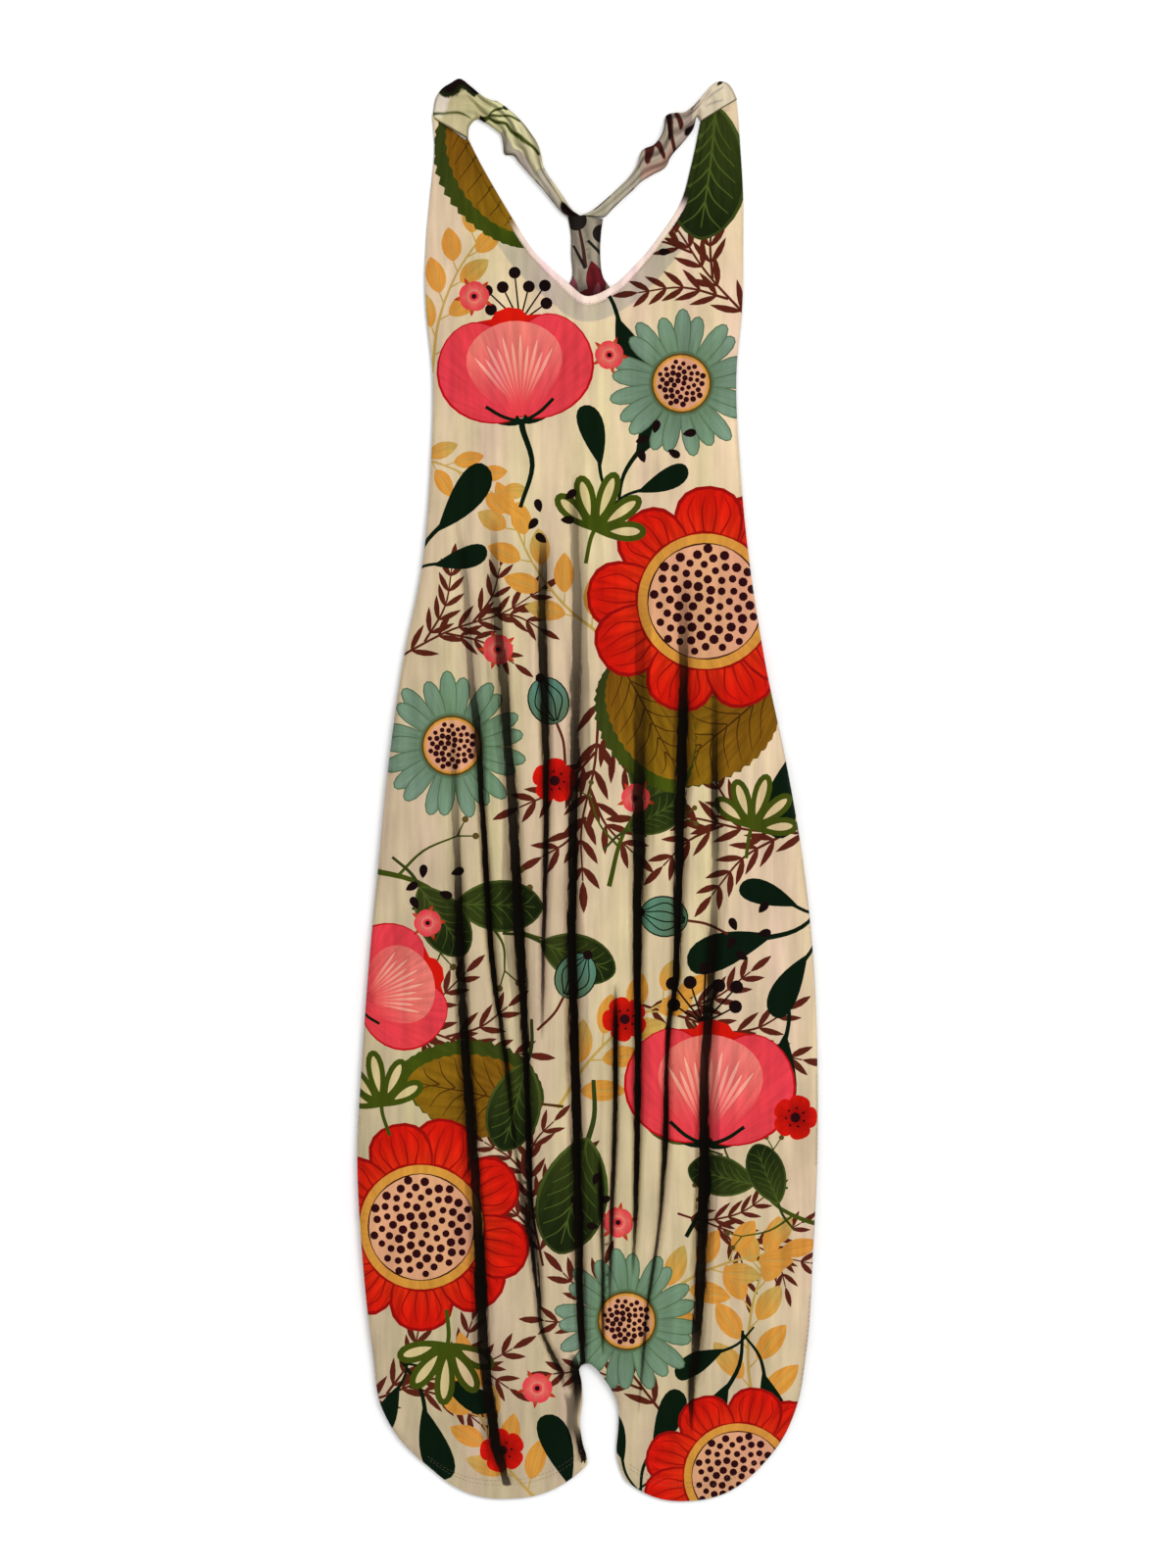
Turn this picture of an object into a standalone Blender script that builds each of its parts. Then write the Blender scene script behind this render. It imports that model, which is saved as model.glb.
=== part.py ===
"""A long, loose romper with a V neck, twisted straps and a racerback, laid flat on its back.

The neck points to +Y, the hems to -Y and the front faces up, to +Z. The back lies flat at Z = 0,
the front lies on it, and the straps lie beside the neck opening with nothing under them.
Each pair of pieces is SEAM_GAP apart where they are sewn together.
"""

import math
from collections import namedtuple

import bmesh
import bpy
import numpy as np

MM = 0.001  # the sizes below are in millimetres, and the meshes in metres

# Cloth
WALL = 1.2  # thickness of a panel
SEAM_GAP = 0.3  # between two pieces that are sewn together
SEAT_GAP = 0.8  # between the front's slanted ends and the straps, as its wall leans there
BACK_INSET = 1.0  # how far the back's edges lie inside the front's

# Levels along the garment
REST_FULL = 465  # below this the front lies on the back
REST_NONE = 500  # above this there is no back under the front
CROTCH = -526

# Front
EDGE_ROLL = 8  # width over which the front curves up from its side seam
ROLL_SHARE = 0.7  # height of the roll's inner end, as a share of the cloth's rise
LIP_SHARE = 0.93  # height of a fold's two lips
LEAST_SPACE = 7  # between two folds' creases
LIP_REACH = 0.32  # a lip is at most this share of the way to the next crease
FOLD_FADE = 70  # length over which a fold begins and ends
CREASE_FLOOR = 2.3  # a crease stays this high above the cloth under it
STEEPEST = 2.1  # a crease's depth is at most this many times its half width
LEFT_HEM_DIP = 29  # how far each hem bows down between its corners
RIGHT_HEM_DIP = 23.4
HEM_POWER = 2.4  # 2 bows it as a parabola, and more makes it flatter in the middle
STRAP_ROWS = 13
NECK_CROWDING = 1.35  # above 1 the rows are closer together at the bottom of the V
BODY_ROWS = 22

# Neck binding
BAND_AT_POINT = 8.5  # its width at the bottom of the V
BAND_ON_SLOPE = 5.5
BAND_EVEN_FROM = 60  # distance from the bottom of the V at which it has its slope width
BAND_HEIGHT = 2.4

# Straps and racerback bar
STRAP_RIDGES = 2.2  # twisted ridges across a strap
STRAP_TURNS = 2.6  # how far the ridges run round it from end to end
RIDGE_SHARE = 0.16
STRAP_POINTS = 13  # across the top of a strap's section
BAR_FLAT_BELOW = 468

# Left and right side seams, from the strap ends down to the hem corners
Side = namedtuple("Side", "y left right")
SIDES = (
    Side(640, -146.0, 136.0),
    Side(617, -142.0, 138.0),
    Side(590, -140.0, 140.0),
    Side(545, -144.0, 142.6),
    Side(500, -148.0, 142.6),
    Side(446, -148.0, 141.8),
    Side(383, -141.8, 136.4),
    Side(293, -143.6, 140.0),
    Side(203, -151.7, 149.0),
    Side(113, -169.7, 163.4),
    Side(23, -182.3, 182.3),
    Side(-67, -191.3, 197.6),
    Side(-157, -200.0, 207.0),
    Side(-247, -206.5, 210.6),
    Side(-337, -211.0, 210.6),
    Side(-427, -206.5, 206.5),
    Side(-517, -196.7, 200.3),
    Side(-571, -187.0, 190.0),
    Side(-597, -172.0, 178.0),
    Side(-611, -158.9, 167.9),
    Side(-625, -142.7, 155.3),
)

# How high the cloth rises between its folds
Rise = namedtuple("Rise", "y height")
RISES = (
    Rise(640, 3.2),
    Rise(443, 3.8),
    Rise(380, 5.5),
    Rise(290, 9.0),
    Rise(185, 13.0),
    Rise(0, 14.5),
    Rise(-300, 14.5),
    Rise(-450, 13.5),
    Rise(-540, 11.0),
    Rise(-600, 6.0),
    Rise(-640, 1.2),
)

# The folds, each from its top to its foot, with its crease's x at the five PATH_LEVELS
PATH_LEVELS = (-600, -400, -200, 0, 200)
Fold = namedtuple("Fold", "top foot width depth path")
LEFT_FOLDS = (  # from the side seam to the centre
    Fold(90, -640, 12, 11, (-84, -101, -114, -122, -126)),
    Fold(270, -640, 9, 11, (-12, -53, -82, -98, -112)),
    Fold(240, -370, 10, 11, (-38, -49, -58, -70, -79)),
    Fold(240, -240, 8, 9, (-27, -33, -41, -38, -40)),
)
CENTRE_FOLD = Fold(290, -560, 14, 12, (0, -11, -13, -13, -12))
RIGHT_FOLDS = (  # from the side seam to the centre
    Fold(130, -600, 12, 11, (93, 104, 111, 117, 117)),
    Fold(230, -590, 10, 11, (44, 65, 77, 86, 88)),
    Fold(230, -460, 12, 11, (40, 43, 46, 48, 46)),
    Fold(-180, -490, 6, 8, (30, 22, 25, 24, 22)),
    Fold(-310, -530, 6, 8, (22, 13, 10, 8, 6)),
)

# The legs below the crotch: each row's level at the side seams and its two inseam points
Leg = namedtuple("Leg", "side_y left_x left_y right_x right_y")
LEGS = (
    Leg(-543, -7.6, -531.5, 7.6, -531.5),
    Leg(-561, -5.5, -545.0, 19.0, -546.0),
    Leg(-578, -5.0, -562.0, 28.0, -565.0),
    Leg(-592, -7.0, -580.0, 28.5, -586.0),
    Leg(-604, -4.5, -600.0, 27.0, -606.0),
    Leg(-615, -1.5, -611.0, 30.0, -621.0),
    Leg(-625, -1.0, -620.0, 35.0, -632.0),
)

# The edge of the neck opening between the straps' ends, from left to right
NECKLINE = (
    (-96.8, 572.0),
    (-76.0, 536.0),
    (-53.6, 500.0),
    (-37.4, 482.0),
    (-16.7, 464.0),
    (0.5, 452.7),
    (25.7, 464.0),
    (44.6, 482.0),
    (59.9, 500.0),
    (84.2, 536.0),
    (95.0, 572.0),
)
NECK_SAMPLES = 8  # for each pair of the points above

# The back above the underarms: the bar, and the armhole that curves out from it
BACK_TOP = (
    Side(525.0, -18.6, 14.0),
    Side(510.0, -15.0, 12.0),
    Side(490.0, -14.7, 11.3),
    Side(472.0, -13.5, 13.3),
    Side(462.0, -18.0, 19.5),
    Side(445.0, -32.0, 33.0),
    Side(428.0, -49.0, 50.0),
    Side(410.0, -71.0, 69.0),
    Side(396.0, -92.0, 88.0),
    Side(380.0, -118.0, 112.0),
)
UNDERARM = 366
BAR_HEIGHT = 5.5
BACK_COLUMNS = (0, 0.12, 0.35, 0.68, 1)  # shares of the way from a side seam to the centre

# Sections of the straps, from the front's strap end over the shoulder to the bar:
# the upper edge, the lower edge, and the height
Section = namedtuple("Section", "upper_x upper_y lower_x lower_y height")
LEFT_STRAP = (
    Section(-141.8, 616.5, -109.8, 597.6, 4.8),
    Section(-140.9, 624.8, -109.2, 606.9, 5.4),
    Section(-138.8, 634.4, -106.7, 611.6, 6.2),
    Section(-133.3, 642.7, -104.4, 614.2, 7.0),
    Section(-125.0, 648.2, -102.6, 615.3, 7.6),
    Section(-117.0, 652.0, -101.3, 615.9, 8.0),
    Section(-107.6, 644.9, -99.9, 615.8, 8.4),
    Section(-97.5, 636.5, -98.1, 614.9, 8.6),
    Section(-89.5, 632.4, -94.5, 612.9, 8.8),
    Section(-83.3, 630.9, -90.5, 610.7, 9.0),
    Section(-74.7, 625.4, -84.2, 606.2, 9.2),
    Section(-66.2, 618.0, -78.8, 601.2, 9.2),
    Section(-59.0, 610.7, -77.0, 592.7, 9.2),
    Section(-52.2, 601.7, -75.6, 583.7, 9.0),
    Section(-46.4, 592.7, -67.5, 582.3, 8.8),
    Section(-43.0, 582.0, -61.7, 575.2, 8.6),
    Section(-41.4, 572.9, -52.0, 564.1, 8.2),
    Section(-37.4, 564.8, -46.4, 558.0, 8.0),
    Section(-31.1, 555.8, -39.2, 549.9, 7.8),
    Section(-22.9, 544.1, -31.5, 540.0, 7.4),
    Section(-14.9, 532.5, -23.8, 530.5, 6.6),
    Section(-6.9, 526.4, -18.6, 525.7, 6.0),
)
RIGHT_STRAP = (
    Section(136.8, 634.0, 103.9, 613.7, 4.8),
    Section(134.7, 638.6, 102.7, 616.1, 5.4),
    Section(131.9, 644.0, 101.8, 617.4, 6.2),
    Section(127.8, 648.2, 101.1, 618.1, 7.0),
    Section(121.6, 649.6, 100.3, 618.4, 7.6),
    Section(115.5, 646.8, 99.7, 618.0, 8.0),
    Section(108.5, 639.2, 99.1, 616.1, 8.4),
    Section(101.7, 631.0, 98.4, 611.1, 8.6),
    Section(95.0, 624.8, 96.6, 606.6, 8.8),
    Section(88.6, 620.8, 92.2, 600.3, 9.0),
    Section(81.0, 620.6, 85.1, 591.8, 9.2),
    Section(72.7, 617.9, 79.6, 585.9, 9.2),
    Section(70.6, 606.9, 75.2, 579.6, 9.2),
    Section(67.9, 599.9, 72.7, 573.8, 9.0),
    Section(61.6, 591.7, 68.6, 569.6, 8.8),
    Section(52.1, 587.5, 60.8, 565.6, 8.6),
    Section(48.6, 582.0, 53.6, 561.3, 8.4),
    Section(45.9, 572.4, 48.6, 558.0, 8.2),
    Section(38.2, 561.4, 41.4, 550.8, 8.0),
    Section(28.6, 551.7, 31.9, 542.2, 7.8),
    Section(16.3, 540.7, 22.1, 532.8, 7.2),
    Section(4.6, 531.5, 17.0, 527.0, 6.6),
    Section(-5.9, 526.4, 14.0, 525.6, 6.0),
)

# Mean colours of the cloth, as it shows on each piece
COLOURS = {
    "front": (0.62, 0.45, 0.27, 1),
    "back": (0.42, 0.35, 0.28, 1),
    "neck_binding": (0.80, 0.66, 0.60, 1),
    "strap_left": (0.46, 0.43, 0.29, 1),
    "strap_right": (0.43, 0.35, 0.29, 1),
}
ROUGHNESS = 0.85


def clear_scene():
    for old in list(bpy.data.objects):
        bpy.data.objects.remove(old, do_unlink=True)


def smooth(t):
    """0 to 1 with level ends, for t from 0 to 1."""
    t = min(max(t, 0.0), 1.0)
    return t * t * (3 - 2 * t)


def curve(x, xs, ys):
    """A smooth curve through the points (xs, ys), xs rising, read at x."""
    xs = np.asarray(xs, float)
    ys = np.asarray(ys, float)
    x = float(np.clip(x, xs[0], xs[-1]))
    slopes = np.gradient(ys, xs)
    i = int(np.clip(np.searchsorted(xs, x) - 1, 0, len(xs) - 2))
    span = xs[i + 1] - xs[i]
    t = (x - xs[i]) / span
    start = (2 * t**3 - 3 * t**2 + 1) * ys[i] + (t**3 - 2 * t**2 + t) * span * slopes[i]
    end = (3 * t**2 - 2 * t**3) * ys[i + 1] + (t**3 - t**2) * span * slopes[i + 1]
    return start + end


def read(table, column, y):
    """A column of a table whose rows go down the garment, read at level y."""
    rows = sorted(table)
    return curve(y, [row.y for row in rows], [getattr(row, column) for row in rows])


def rest(y):
    """Height of what the front lies on, with the gap to it."""
    return (WALL + SEAM_GAP) * smooth((REST_NONE - y) / (REST_NONE - REST_FULL))


def crease_x(fold, y):
    return curve(y, PATH_LEVELS, fold.path)


def crease_depth(fold, y):
    """A fold's depth at level y: it fades in at its top and out at its foot."""
    fade = smooth((fold.top - y) / FOLD_FADE) * smooth((y - fold.foot) / FOLD_FADE)
    return fold.depth * fade


def columns(folds, side_x, centre_x, y):
    """Each column of a half row: its share of the way from the side seam, and what it is.

    They are the edge, the roll, a crest, lip, crease and lip for each fold, and a last crest,
    lip and centre. A crease gives its fold and how far off its lips are.
    """
    width = abs(centre_x - side_x)
    creases = []
    for number, fold in enumerate(folds):
        low = EDGE_ROLL + LEAST_SPACE * (number + 1)
        high = width - LEAST_SPACE * (len(folds) - number)
        creases.append(min(max(abs(crease_x(fold, y) - side_x), low), high))
    for number in range(len(creases) - 2, -1, -1):
        creases[number] = min(creases[number], creases[number + 1] - LEAST_SPACE)
    found = [(0, "edge"), (EDGE_ROLL, "roll")]
    before = EDGE_ROLL
    for number, fold in enumerate(folds):
        here = creases[number]
        after = creases[number + 1] if number + 1 < len(folds) else width
        reach = min(fold.width / 2, LIP_REACH * (here - before), LIP_REACH * (after - here))
        found.append(((found[-1][0] + here - reach) / 2, "crest"))
        found += [(here - reach, "lip"), (here, (fold, reach)), (here + reach, "lip")]
        before = here
    reach = min(CENTRE_FOLD.width / 2, LIP_REACH * (width - before))
    found.append(((found[-1][0] + width - reach) / 2, "crest"))
    found += [(width - reach, "lip"), (width, (CENTRE_FOLD, reach))]
    return [(distance / width, role) for distance, role in found]


def front_height(role, y, from_edge):
    """Height of the front's outer face at a column, at level y, from_edge in from its edge."""
    base = rest(y) + WALL
    if role == "edge":
        return base
    rise = read(RISES, "height", y) * math.sin(math.pi / 2 * min(1, from_edge / EDGE_ROLL))
    if role == "roll":
        return base + ROLL_SHARE * rise
    if role == "lip":
        return base + LIP_SHARE * rise
    if role == "crest":
        return base + rise
    fold, reach = role
    deepest = LIP_SHARE * rise - min(CREASE_FLOOR, rise / 2)
    depth = min(crease_depth(fold, y), STEEPEST * reach, deepest)
    return base + LIP_SHARE * rise - depth


def half_row(places, side, inner, dip=0.0, open_inner=False):
    """Points of a half row from its side seam to its inner end, bowed down by dip.

    With open_inner the inner end is an edge of the cloth: the neckline or an inseam.
    """
    width = math.dist(side, inner)
    points = []
    for share, role in places:
        from_edge = share * width
        if open_inner:
            from_edge = min(share, 1 - share) * width
            role = "edge" if share == 1 else role
        x = side[0] + share * (inner[0] - side[0])
        bow = 1 - abs(2 * share - 1) ** HEM_POWER
        y = side[1] + share * (inner[1] - side[1]) - dip * bow
        points.append((x, y, front_height(role, y, from_edge)))
    return points


def seat(section):
    """Where a strap's first section meets the front and the neck binding, below their gap.

    Gives the front's two ends and the binding's two ends, from the side to the opening.
    """
    upper = np.array([section.upper_x, section.upper_y])
    lower = np.array([section.lower_x, section.lower_y])
    run = (upper - lower) / np.linalg.norm(upper - lower)
    down = np.array([run[1], -run[0]])
    down *= -math.copysign(1, down[1])
    band_end = lower + run * BAND_ON_SLOPE
    front_end = band_end + run * SEAM_GAP
    front = [point + down * SEAT_GAP for point in (upper, front_end)]
    return front + [point + down * SEAM_GAP for point in (band_end, lower)]


def crowded(points, count):
    """count + 1 points along a polyline, closer together at its start."""
    points = np.asarray(points, float)
    steps = np.linalg.norm(np.diff(points, axis=0), axis=1)
    walked = np.concatenate([[0], np.cumsum(steps)])
    places = walked[-1] * (np.arange(count + 1) / count) ** NECK_CROWDING
    return np.column_stack([np.interp(places, walked, points[:, i]) for i in range(2)])


def neck_opening():
    """Points along the edge of the neck opening, one for each row of the straps."""
    points = [seat(LEFT_STRAP[0])[3], *NECKLINE, seat(RIGHT_STRAP[0])[3]]
    steps = range(len(points))
    places = np.linspace(0, len(points) - 1, NECK_SAMPLES * (len(points) - 1) + 1)
    xs = [curve(t, steps, [point[0] for point in points]) for t in places]
    ys = [curve(t, steps, [point[1] for point in points]) for t in places]
    edge = np.column_stack([xs, ys])
    lowest = int(np.argmin(edge[:, 1]))
    left = crowded(edge[lowest::-1], STRAP_ROWS)
    right = crowded(edge[lowest:], STRAP_ROWS)
    return np.concatenate([left[:0:-1], right])


def moved_out(points, widths):
    """A neckline's points moved into the cloth, away from the opening."""
    ahead = np.gradient(points, axis=0)
    ahead /= np.linalg.norm(ahead, axis=1)[:, None]
    normals = np.column_stack([ahead[:, 1], -ahead[:, 0]])
    return points + normals * np.asarray(widths)[:, None]


def band_widths(points):
    """Width of the neck binding at each point: widest at the bottom of the V."""
    lowest = points[np.argmin(points[:, 1])]
    far = np.linalg.norm(points - lowest, axis=1)
    shares = [smooth(d / BAND_EVEN_FROM) for d in far]
    return [BAND_AT_POINT + s * (BAND_ON_SLOPE - BAND_AT_POINT) for s in shares]


def neckline(gap, seat_corner):
    """The neck opening's points moved out past the binding and a gap."""
    opening = neck_opening()
    edge = moved_out(opening, [width + gap for width in band_widths(opening)])
    edge[0] = seat(LEFT_STRAP[0])[seat_corner]
    edge[-1] = seat(RIGHT_STRAP[0])[seat_corner]
    return edge


def strap_rows(side_name, folds, neck, seat_end):
    """Half rows from the bottom of the V, not included, up to a strap's end."""
    bottom_x, bottom_y = neck[0]
    side_x = read(SIDES, side_name, bottom_y)
    places = columns(folds, side_x, bottom_x, bottom_y)
    rows = []
    for number in range(1, STRAP_ROWS + 1):
        side_y = bottom_y + number / STRAP_ROWS * (seat_end[1] - bottom_y)
        side = (read(SIDES, side_name, side_y), side_y)
        if number == STRAP_ROWS:
            side = seat_end
        rows.append(half_row(places, side, neck[number], open_inner=True))
    return rows


def body_row(side_name, folds, centre_x, y):
    """One straight half row between the V and the crotch."""
    side_x = read(SIDES, side_name, y)
    return half_row(columns(folds, side_x, centre_x, y), (side_x, y), (centre_x, y))


def leg_ends(side_name, inset=0.0):
    """Both ends and the bow of each row of a leg, down to its hem, moved in by inset."""
    inward = inset if side_name == "left" else -inset
    full_dip = LEFT_HEM_DIP if side_name == "left" else RIGHT_HEM_DIP
    ends = []
    for number, leg in enumerate(LEGS, 1):
        lift = inset if number == len(LEGS) else 0.0
        side = (read(SIDES, side_name, leg.side_y) + inward, leg.side_y + lift)
        inner_x, inner_y = getattr(leg, side_name + "_x"), getattr(leg, side_name + "_y")
        inner = (inner_x - inward, inner_y + lift)
        ends.append((side, inner, full_dip * (number / len(LEGS)) ** 2))
    return ends


def leg_rows(side_name, folds):
    """Half rows from the crotch, not included, down to a hem."""
    rows = []
    for side, inner, dip in leg_ends(side_name):
        places = columns(folds, side[0], inner[0], (side[1] + inner[1]) / 2)
        rows.append(half_row(places, side, inner, dip, open_inner=True))
    return rows


def body_levels(top, bottom):
    return [top + (bottom - top) * k / BODY_ROWS for k in range(BODY_ROWS + 1)]


def stitched_faces(rows_left, rows_right, joined):
    """Vertices and faces of a panel whose halves share their centre where joined says so."""
    points, faces = [], []
    numbers = {}
    for row, (left, right) in enumerate(zip(rows_left, rows_right)):
        for column, point in enumerate(left):
            numbers["left", row, column] = len(points)
            points.append(point)
        last = len(right) - 1
        for column, point in enumerate(right):
            if column == last and joined[row]:
                numbers["right", row, column] = numbers["left", row, len(left) - 1]
            else:
                numbers["right", row, column] = len(points)
                points.append(point)
    for half, rows in (("left", rows_left), ("right", rows_right)):
        for row in range(len(rows) - 1):
            for column in range(len(rows[row]) - 1):
                face = [
                    numbers[half, row, column],
                    numbers[half, row + 1, column],
                    numbers[half, row + 1, column + 1],
                    numbers[half, row, column + 1],
                ]
                faces.append(face if half == "left" else face[::-1])
    return points, faces


def add_object(name, points, faces, parts):
    mesh = bpy.data.meshes.new(name)
    mesh.from_pydata([tuple(MM * v for v in point) for point in points], [], faces)
    mesh.update()
    piece = bpy.data.objects.new(name, mesh)
    parts.objects.link(piece)
    material = bpy.data.materials.new(name)
    material.use_nodes = True
    shader = material.node_tree.nodes["Principled BSDF"]
    shader.inputs["Base Color"].default_value = COLOURS[name]
    shader.inputs["Roughness"].default_value = ROUGHNESS
    mesh.materials.append(material)
    return piece


def make_front(parts):
    """The front panel: an open surface over its folds, with the cloth's thickness below it."""
    edge = neckline(SEAM_GAP, 1)
    point = edge[STRAP_ROWS]
    halves = []
    for side_name, folds, neck, strap in (
        ("left", LEFT_FOLDS, edge[STRAP_ROWS::-1], LEFT_STRAP),
        ("right", RIGHT_FOLDS, edge[STRAP_ROWS:], RIGHT_STRAP),
    ):
        rows = strap_rows(side_name, folds, neck, seat(strap[0])[0])[::-1]
        rows.append(body_row(side_name, folds, point[0], point[1]))
        for y in body_levels(point[1], CROTCH)[1:]:
            rows.append(body_row(side_name, folds, crease_x(CENTRE_FOLD, y), y))
        halves.append(rows + leg_rows(side_name, folds))
    joined = [False] * STRAP_ROWS + [True] * (BODY_ROWS + 1) + [False] * len(LEGS)
    front = add_object("front", *stitched_faces(*halves, joined), parts)
    wall = front.modifiers.new("Cloth", "SOLIDIFY")
    wall.thickness = WALL * MM
    wall.offset = -1
    wall.use_even_offset = True
    return front


def back_row(side, centre, rise=0.0, dip=0.0):
    """A half row of the back from a side seam, level or rising to its inner end."""
    row = []
    for share in BACK_COLUMNS:
        x = side[0] + share * (centre[0] - side[0])
        bow = 1 - abs(2 * share - 1) ** HEM_POWER
        y = side[1] + share * (centre[1] - side[1]) - dip * bow
        row.append((x, y, WALL + rise * math.sin(share * math.pi / 2)))
    return row


def make_back(parts):
    """The back panel, flat below, with the racerback bar standing a little higher."""
    body = body_levels(UNDERARM, CROTCH)
    halves = []
    for side_name, inset in (("left", BACK_INSET), ("right", -BACK_INSET)):
        rows = []
        for level in BACK_TOP:
            bar = smooth((level.y - BAR_FLAT_BELOW) / (BACK_TOP[1].y - BAR_FLAT_BELOW))
            middle = (level.left + level.right) / 2
            side = (getattr(level, side_name), level.y)
            rows.append(back_row(side, (middle, level.y), (BAR_HEIGHT - WALL) * bar))
        for y in body:
            side = (read(SIDES, side_name, y) + inset, y)
            rows.append(back_row(side, (crease_x(CENTRE_FOLD, y), y)))
        for side, inner, dip in leg_ends(side_name, BACK_INSET):
            rows.append(back_row(side, inner, dip=dip))
        halves.append(rows)
    joined = [True] * (len(BACK_TOP) + len(body)) + [False] * len(LEGS)
    back = add_object("back", *stitched_faces(*halves, joined), parts)
    surface = bmesh.new()
    surface.from_mesh(back.data)
    grown = bmesh.ops.extrude_face_region(surface, geom=surface.faces[:])
    for item in grown["geom"]:
        if isinstance(item, bmesh.types.BMVert):
            item.co.z = 0
    bmesh.ops.recalc_face_normals(surface, faces=surface.faces[:])
    surface.to_mesh(back.data)
    surface.free()
    return back


def loft(name, rings, parts):
    """A closed solid through rings of equally many points, with a flat cap at each end."""
    size = len(rings[0])
    points = [point for ring in rings for point in ring]
    faces = [list(range(size))]
    for ring in range(len(rings) - 1):
        for corner in range(size):
            after = (corner + 1) % size
            faces.append(
                [
                    ring * size + corner,
                    (ring + 1) * size + corner,
                    (ring + 1) * size + after,
                    ring * size + after,
                ]
            )
    last = (len(rings) - 1) * size
    faces.append([last + corner for corner in range(size)][::-1])
    piece = add_object(name, points, faces, parts)
    solid = bmesh.new()
    solid.from_mesh(piece.data)
    bmesh.ops.recalc_face_normals(solid, faces=solid.faces[:])
    solid.to_mesh(piece.data)
    solid.free()
    return piece


def domed_ring(start, end, base, heights):
    """A section from start to end, flat below and with the given heights across its top."""
    last = len(heights) + 1
    top = []
    for number, height in enumerate(heights, 1):
        share = number / last
        x = start[0] + share * (end[0] - start[0])
        y = start[1] + share * (end[1] - start[1])
        top.append((x, y, base + height))
    return [(*start, base), *top, (*end, base)]


def make_neck_binding(parts):
    """The bound edge of the neckline, a low half round between the opening and the front."""
    opening = neck_opening()
    outside = neckline(0, 2)
    shape = [math.sin(math.pi * k / 6) ** 0.5 for k in range(1, 6)]
    rings = []
    for inner, outer in zip(opening, outside):
        base = rest((inner[1] + outer[1]) / 2)
        heights = [BAND_HEIGHT * part for part in shape]
        rings.append(domed_ring(tuple(inner), tuple(outer), base, heights))
    return loft("neck_binding", rings, parts)


def make_strap(name, sections, hand, parts):
    """A strap that turns over the shoulder and twists: its ridges run round it."""
    rings = []
    for number, section in enumerate(sections):
        turn = hand * STRAP_TURNS * number / (len(sections) - 1)
        heights = []
        for k in range(1, STRAP_POINTS):
            share = k / STRAP_POINTS
            dome = (4 * share * (1 - share)) ** 0.5
            ridge = math.cos(2 * math.pi * (STRAP_RIDGES * share - turn))
            heights.append(section.height * dome * (1 - RIDGE_SHARE + RIDGE_SHARE * ridge))
        upper = (section.upper_x, section.upper_y)
        lower = (section.lower_x, section.lower_y)
        rings.append(domed_ring(upper, lower, 0, heights))
    return loft(name, rings, parts)


def main():
    clear_scene()
    parts = bpy.data.collections.new("romper")
    bpy.context.scene.collection.children.link(parts)
    make_front(parts)
    make_back(parts)
    make_neck_binding(parts)
    make_strap("strap_left", LEFT_STRAP, 1, parts)
    make_strap("strap_right", RIGHT_STRAP, -1, parts)


main()
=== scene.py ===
"""The looks of a long, loose romper in printed jersey, laid flat on its back with its front up.

The neck points to +Y and the hems to -Y. The cloth of each panel is a thin shell whose triangles
follow the outlines of its print, so that every petal and leaf keeps a sharp edge. Sizes are in
millimetres unless a name or a property says otherwise, and MM turns them into metres.
"""

import math
from collections import namedtuple

import bpy
import numpy as np
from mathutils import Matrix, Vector
from mathutils.geometry import delaunay_2d_cdt
from mathutils.kdtree import KDTree


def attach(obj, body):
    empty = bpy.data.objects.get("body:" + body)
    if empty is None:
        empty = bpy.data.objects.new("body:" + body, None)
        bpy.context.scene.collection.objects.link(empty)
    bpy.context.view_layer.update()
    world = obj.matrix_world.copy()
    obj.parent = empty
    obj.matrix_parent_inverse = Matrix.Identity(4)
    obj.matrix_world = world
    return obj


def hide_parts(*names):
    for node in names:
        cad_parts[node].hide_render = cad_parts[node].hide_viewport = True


bl_info = {
    "name": "Printed romper",
    "version": (1, 0, 0),
    "blender": (4, 5, 0),
    "location": "3D View > Sidebar > Romper",
    "description": "A long romper in printed jersey with twisted straps, laid flat",
    "category": "Object",
}

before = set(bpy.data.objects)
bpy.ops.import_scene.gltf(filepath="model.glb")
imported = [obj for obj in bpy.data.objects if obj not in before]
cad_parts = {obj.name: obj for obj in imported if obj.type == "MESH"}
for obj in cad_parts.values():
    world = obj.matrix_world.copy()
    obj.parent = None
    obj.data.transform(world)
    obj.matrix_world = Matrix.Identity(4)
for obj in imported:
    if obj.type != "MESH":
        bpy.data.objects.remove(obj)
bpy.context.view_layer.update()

MM = 0.001


def table(kind, *rows):
    """Rows with the named columns of their kind."""
    return tuple(kind(*row) for row in rows)


# The side seams, from the strap ends down to the hem corners
Side = namedtuple("Side", "y left right")
SIDES = table(
    Side, (640, -146.0, 136.0), (617, -142.4, 138.2), (590, -140.4, 140.2), (545, -144.4, 142.8),
    (500, -148.3, 142.9), (446, -148.3, 142.1), (383, -142.1, 136.7), (293, -143.9, 140.3),
    (203, -152.0, 149.3), (113, -170.0, 163.7), (23, -182.6, 182.6), (-67, -191.6, 197.9),
    (-157, -200.3, 207.3), (-247, -206.8, 210.9), (-337, -211.3, 210.9), (-427, -206.8, 206.8),
    (-517, -197.0, 200.6), (-571, -187.3, 190.3), (-597, -171.6, 178.3), (-611, -158.2, 168.2),
    (-625, -141.6, 155.6),
)

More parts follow.
